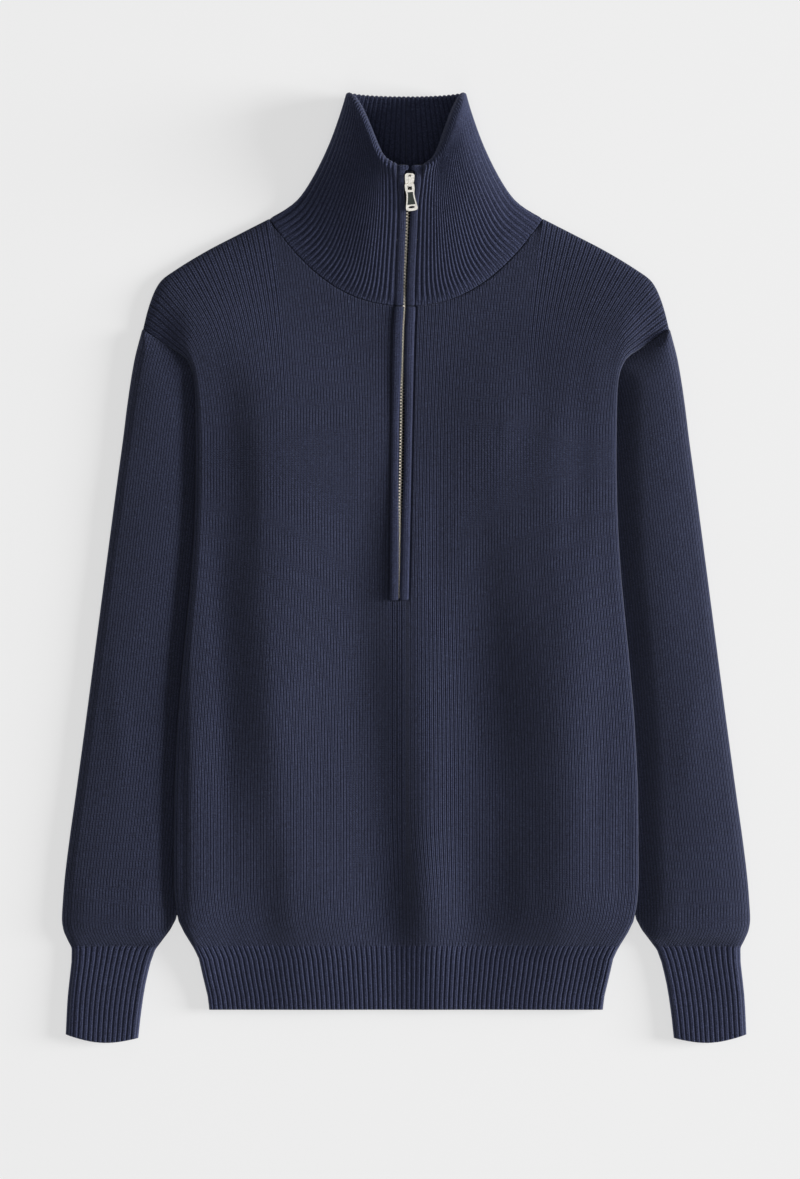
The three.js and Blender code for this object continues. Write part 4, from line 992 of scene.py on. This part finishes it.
def tooth_shape():
    """One tooth: a chamfered bar across the zip, narrow at its tip. Points and quads."""
    across = np.array([0.35, 0.15, -0.35, -1.6, -1.95])
    half_along = np.array([0.35, 0.6, 0.6, 0.66, 0.5])
    half_high = np.array([0.3, 0.5, 0.62, 0.7, 0.5])
    corner = np.array([
        (-1, -0.6), (-0.85, -1), (0.85, -1), (1, -0.6), (1, 0.6), (0.85, 1), (-0.85, 1), (-1, 0.6),
    ])
    points = np.stack([
        np.repeat(across, 8), (half_along[:, None] * corner[:, 0]).ravel(),
        (half_high[:, None] * corner[:, 1]).ravel(),
    ], -1)
    index = np.arange(40).reshape(5, 8)
    right = np.roll(index, -1, axis=1)
    quads = np.stack([index[:-1], index[1:], right[1:], right[:-1]], -1).reshape(-1, 4)
    caps = [index[0, [0, 1, 2, 3]], index[0, [0, 3, 4, 7]], index[0, [7, 4, 5, 6]],
            index[-1, [3, 2, 1, 0]], index[-1, [7, 4, 3, 0]], index[-1, [6, 5, 4, 7]]]
    return points, np.concatenate([quads, np.array(caps)])


def rows_of_teeth(name, y_from, y_to):
    """Teeth along both edges, half a pitch apart, as one mesh; the right row is turned away."""
    shape, quads = tooth_shape()
    count = int((y_to - y_from) / (TOOTH_PITCH / 2))
    number = np.arange(count)
    y = y_from + number * TOOTH_PITCH / 2
    side = np.where(number % 2 == 0, -1.0, 1.0)
    across = -side[:, None] * shape[None, :, 0]
    on_right = (side > 0)[:, None]
    turned = on_right * (0.4 + 0.5 * np.maximum(across, 0))
    along = shape[None, :, 1] * np.where(on_right, 0.75, 1)
    points = zip_place(y[:, None] + along, across, shape[None, :, 2] + TEETH_HEIGHT - turned)
    faces = quads[None] + (number * len(shape))[:, None, None]
    faces = np.where((side < 0)[:, None, None], faces[:, :, ::-1], faces).reshape(-1, 4)
    mesh = bpy.data.meshes.new(name)
    mesh.from_pydata(metres(points).tolist(), [], faces.tolist())
    mesh.update()
    piece = show(name, mesh)
    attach(piece, "garment")
    print(name, "teeth:", count)
    return piece


teeth = rows_of_teeth("zip_teeth", -26, 328)
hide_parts("zip_chain")


# %% [markdown]
# ## Knit material
# The yarn is a melange: dark navy fibres with a few paler ones. Each stitch is a V, two
# short legs of yarn that lean outwards, and the V's stack up in wales. Both the height
# and the painted shade of a stitch come from the UV map, which counts wales and courses.
# The legs' height goes to a Bump node, and the colour is painted darker low in each V and
# in the gaps between wales, as painted shade where less light reaches them.

# %% Node helpers
def numbers(tree, operation, *inputs):
    """A Math node with these inputs, numbers or sockets."""
    node = tree.nodes.new("ShaderNodeMath")
    node.operation = operation
    for socket, value in zip(node.inputs, inputs):
        if isinstance(value, (int, float)):
            socket.default_value = value
        else:
            tree.links.new(value, socket)
    return node.outputs[0]


def blend_colour(tree, share, first, second):
    """A Mix node between two colours, numbers or sockets."""
    node = tree.nodes.new("ShaderNodeMix")
    node.data_type = "RGBA"
    tree.links.new(share, node.inputs["Factor"])
    for socket, value in ((node.inputs[6], first), (node.inputs[7], second)):
        if isinstance(value, tuple):
            socket.default_value = (*value, 1)
        else:
            tree.links.new(value, socket)
    return node.outputs[2]


def speckle(tree, scale, low, high, detail=2):
    """Noise on the object's own coordinates, spread from 0 at low to 1 at high."""
    place = tree.nodes.new("ShaderNodeTexCoord")
    noise = tree.nodes.new("ShaderNodeTexNoise")
    noise.inputs["Scale"].default_value = scale
    noise.inputs["Detail"].default_value = detail
    tree.links.new(place.outputs["Object"], noise.inputs["Vector"])
    spread = tree.nodes.new("ShaderNodeMapRange")
    spread.inputs["From Min"].default_value = low
    spread.inputs["From Max"].default_value = high
    tree.links.new(noise.outputs["Fac"], spread.inputs["Value"])
    return spread.outputs["Result"]


def stitch_counts(tree):
    """The UV map's counts: wales as X and courses as Y."""
    uv = tree.nodes.new("ShaderNodeUVMap")
    uv.uv_map = "stitches"
    parts = tree.nodes.new("ShaderNodeSeparateXYZ")
    tree.links.new(uv.outputs["UV"], parts.inputs["Vector"])
    return parts.outputs


def relief(tree, shader, height, distance, strength=1):
    """A Bump node between a height and the shader."""
    bump = tree.nodes.new("ShaderNodeBump")
    bump.inputs["Strength"].default_value = strength
    bump.inputs["Distance"].default_value = distance
    tree.links.new(height, bump.inputs["Height"])
    tree.links.new(bump.outputs["Normal"], shader.inputs["Normal"])


# %% Knit material
def stitch_height(tree, lean):
    """Height of V stitches, 0 to 1, and of the wale alone, from the UV map's counts."""
    counts = stitch_counts(tree)
    wale = numbers(tree, "FRACT", counts["X"])
    from_centre = numbers(tree, "ABSOLUTE", numbers(tree, "MULTIPLY_ADD", wale, 2, -1))
    leg = numbers(tree, "ABSOLUTE", numbers(tree, "MULTIPLY_ADD", from_centre, 2, -0.9))
    leg = numbers(tree, "SUBTRACT", 1, numbers(tree, "POWER", leg, 2.2))
    leaning = numbers(tree, "MULTIPLY_ADD", from_centre, -lean, counts["Y"])
    row = numbers(tree, "MULTIPLY_ADD", numbers(tree, "FRACT", leaning), 2, -1)
    row = numbers(tree, "SUBTRACT", 1, numbers(tree, "POWER", numbers(tree, "ABSOLUTE", row), 3))
    loops = numbers(tree, "MULTIPLY", leg, numbers(tree, "MULTIPLY_ADD", row, 0.5, 0.5))
    gap = numbers(tree, "SUBTRACT", 1, numbers(tree, "POWER", from_centre, 3.4))
    return numbers(tree, "MULTIPLY", loops, gap), gap


def knit_material(name, depth, wale_shade, bump_distance):
    """Melange knit: fibres of three shades, V stitches in relief, and painted shade low in the V's and
    in the gaps.

    The painted shade is the V's height times the wale's, from 1 - depth and 1 - wale_shade up to 1.
    """
    material, tree, shader = new_material(name)
    for socket, value in (
        ("Roughness", 0.92), ("Specular IOR Level", 0.18), ("Sheen Weight", 0.16),
        ("Sheen Roughness", 0.55), ("Sheen Tint", (0.62, 0.68, 0.95, 1)),
    ):
        shader.inputs[socket].default_value = value
    height, gap = stitch_height(tree, 0.8)
    fibre = speckle(tree, 1300, 0.36, 0.66, 3)
    fleck = speckle(tree, 700, 0.6, 0.76)
    patch = speckle(tree, 14, 0.3, 0.7)
    colour = blend_colour(tree, fibre, NAVY_DARK, NAVY)
    colour = blend_colour(tree, numbers(tree, "MULTIPLY", fleck, 0.45), colour, NAVY_PALE)
    # Painted shade: the colour is darkened low in each V and in the gaps between wales, where less light
    # would reach; a slow random patch also varies the tone a little.
    shade = numbers(tree, "MULTIPLY_ADD", height, depth, 1 - depth)
    painted_gap_shade = numbers(tree, "MULTIPLY_ADD", gap, wale_shade, 1 - wale_shade)
    shade = numbers(tree, "MULTIPLY", shade, painted_gap_shade)
    shade = numbers(tree, "MULTIPLY", shade, numbers(tree, "MULTIPLY_ADD", patch, 0.1, 0.95))
    # The painted shade goes towards this near-black navy.
    painted_shade_colour = tuple(value * 0.2 for value in NAVY_DARK)
    colour = blend_colour(tree, shade, painted_shade_colour, colour)
    tree.links.new(colour, shader.inputs["Base Color"])
    relief(tree, shader, numbers(tree, "MULTIPLY_ADD", fibre, 0.16, height), bump_distance, 0.9)
    return material


NAVY_DARK = (0.015, 0.018, 0.038)
NAVY = (0.063, 0.0735, 0.149)
NAVY_PALE = (0.152, 0.176, 0.295)
body_knit = knit_material("navy_melange_knit", 0.5, 0.6, 0.0012)
rib_knit = knit_material("navy_melange_rib", 0.3, 0.45, 0.0006)
band_knit = knit_material("navy_band_knit", 0.35, 0.1, 0.0004)
for piece in (front_panel, back_panel, sleeve_left, sleeve_right):
    piece.data.materials.append(body_knit)
    piece.data.materials.append(rib_knit)
collar.data.materials.append(rib_knit)
for piece in bands:
    piece.data.materials.append(band_knit)


# %% Ribbed hem and cuffs
def ribbed_below(piece, y_top, scale=1):
    """Gives the faces below a height the rib material, with one V to each rib."""
    mesh = piece.data
    centre = np.zeros(len(mesh.polygons) * 3)
    mesh.polygons.foreach_get("center", centre)
    low = centre.reshape(-1, 3)[:, 1] < y_top
    mesh.polygons.foreach_set("material_index", low.astype(np.int32))
    if scale != 1:
        corners = np.zeros(len(mesh.loops) * 2)
        mesh.uv_layers["stitches"].data.foreach_get("uv", corners)
        corners = corners.reshape(-1, 4, 2)
        corners[low, :, 0] *= scale
        mesh.uv_layers["stitches"].data.foreach_set("uv", corners.ravel())
    print(piece.name, "ribbed faces:", int(low.sum()))


for piece in (front_panel, back_panel):
    ribbed_below(piece, (RIB_TOP_Y + 1) * MM, HEM_RIBS / PANEL_WALES)
for piece in (sleeve_left, sleeve_right):
    ribbed_below(piece, (RIB_TOP_Y + 0.5) * MM)


# %% [markdown]
# ## Zip materials
# The slider and its pull tab are plated and polished, the teeth are pale brass and the
# tape is a dark close weave.

# %% Zip materials
def metal_material(name, colour, roughness, scratch):
    """Plated metal: its shine varies a little with fine marks."""
    material, tree, shader = new_material(name)
    shader.inputs["Metallic"].default_value = 1
    marks = speckle(tree, 2500, 0.3, 0.7, 3)
    worn = speckle(tree, 600, 0.35, 0.75)
    tint = blend_colour(tree, worn, colour, tuple(value * 0.72 for value in colour))
    tree.links.new(tint, shader.inputs["Base Color"])
    shine = numbers(tree, "MULTIPLY_ADD", marks, scratch, roughness)
    tree.links.new(shine, shader.inputs["Roughness"])
    return material


def tape_material():
    """A close plain weave: two crossing waves on the UV map's counts, as height and shade."""
    material, tree, shader = new_material("woven_tape")
    shader.inputs["Roughness"].default_value = 0.85
    counts = stitch_counts(tree)
    turns = [numbers(tree, "MULTIPLY", counts[k], 2 * math.pi) for k in "XY"]
    waves = [numbers(tree, "SINE", turn) for turn in turns]
    weave = numbers(tree, "MULTIPLY_ADD", numbers(tree, "MULTIPLY", *waves), 0.5, 0.5)
    colour = blend_colour(tree, weave, (0.004, 0.005, 0.009), (0.014, 0.016, 0.026))
    tree.links.new(colour, shader.inputs["Base Color"])
    relief(tree, shader, weave, 0.0002)
    return material


plated = metal_material("plated_metal", (0.86, 0.83, 0.77), 0.13, 0.1)
sunken = metal_material("darkened_recess", (0.1, 0.115, 0.105), 0.4, 0.15)
teeth.data.materials.append(metal_material("pale_brass", (0.9, 0.83, 0.72), 0.22, 0.1))
tape.data.materials.append(tape_material())


# %% Slider and pull tab
SLIDER_Y = 332.5
PIVOT_HEIGHT = 2.6


def bevelled_copy(node, name, body, width):
    """A copy of a solid with its flat faces joined up and its edges bevelled."""
    mesh = bpy.data.objects[node].data.copy()
    mesh.name = name
    shape = bmesh.new()
    shape.from_mesh(mesh)
    bmesh.ops.remove_doubles(shape, verts=shape.verts, dist=0.00001)
    bmesh.ops.dissolve_limit(shape, angle_limit=math.radians(2), verts=shape.verts, edges=shape.edges)
    bmesh.ops.recalc_face_normals(shape, faces=shape.faces)
    shape.to_mesh(mesh)
    shape.free()
    mesh.materials.clear()
    piece = show(name, mesh)
    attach(piece, body)
    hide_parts(node)
    bevel = piece.modifiers.new("edges", "BEVEL")
    bevel.width = width * MM
    bevel.segments = 2
    bevel.limit_method = "ANGLE"
    bevel.angle_limit = math.radians(35)
    mesh.materials.append(plated)
    print(name, "faces before its bevel:", len(mesh.polygons))
    return piece


bevelled_copy("zip_slider", "zip_slider_plated", "garment", 0.32)
tab = bevelled_copy("zip_pull_tab", "zip_pull_tab_plated", "pull_tab", 0.2)
tab.data.materials.append(sunken)
seat, above = metres(zip_place(np.full(2, SLIDER_Y), np.zeros(2), np.array([0.0, 1.0])))
outward = (above - seat) / np.linalg.norm(above - seat)
centres = np.array([face.center for face in tab.data.polygons])
facing = np.array([face.normal for face in tab.data.polygons]) @ outward
height = (centres - seat) @ outward / MM - PIVOT_HEIGHT
recess = (facing > 0.9) & (height > 0) & (height < 0.45)
tab.data.polygons.foreach_set("material_index", recess.astype(np.int32))
print("sunken faces of the pull tab:", int(recess.sum()))
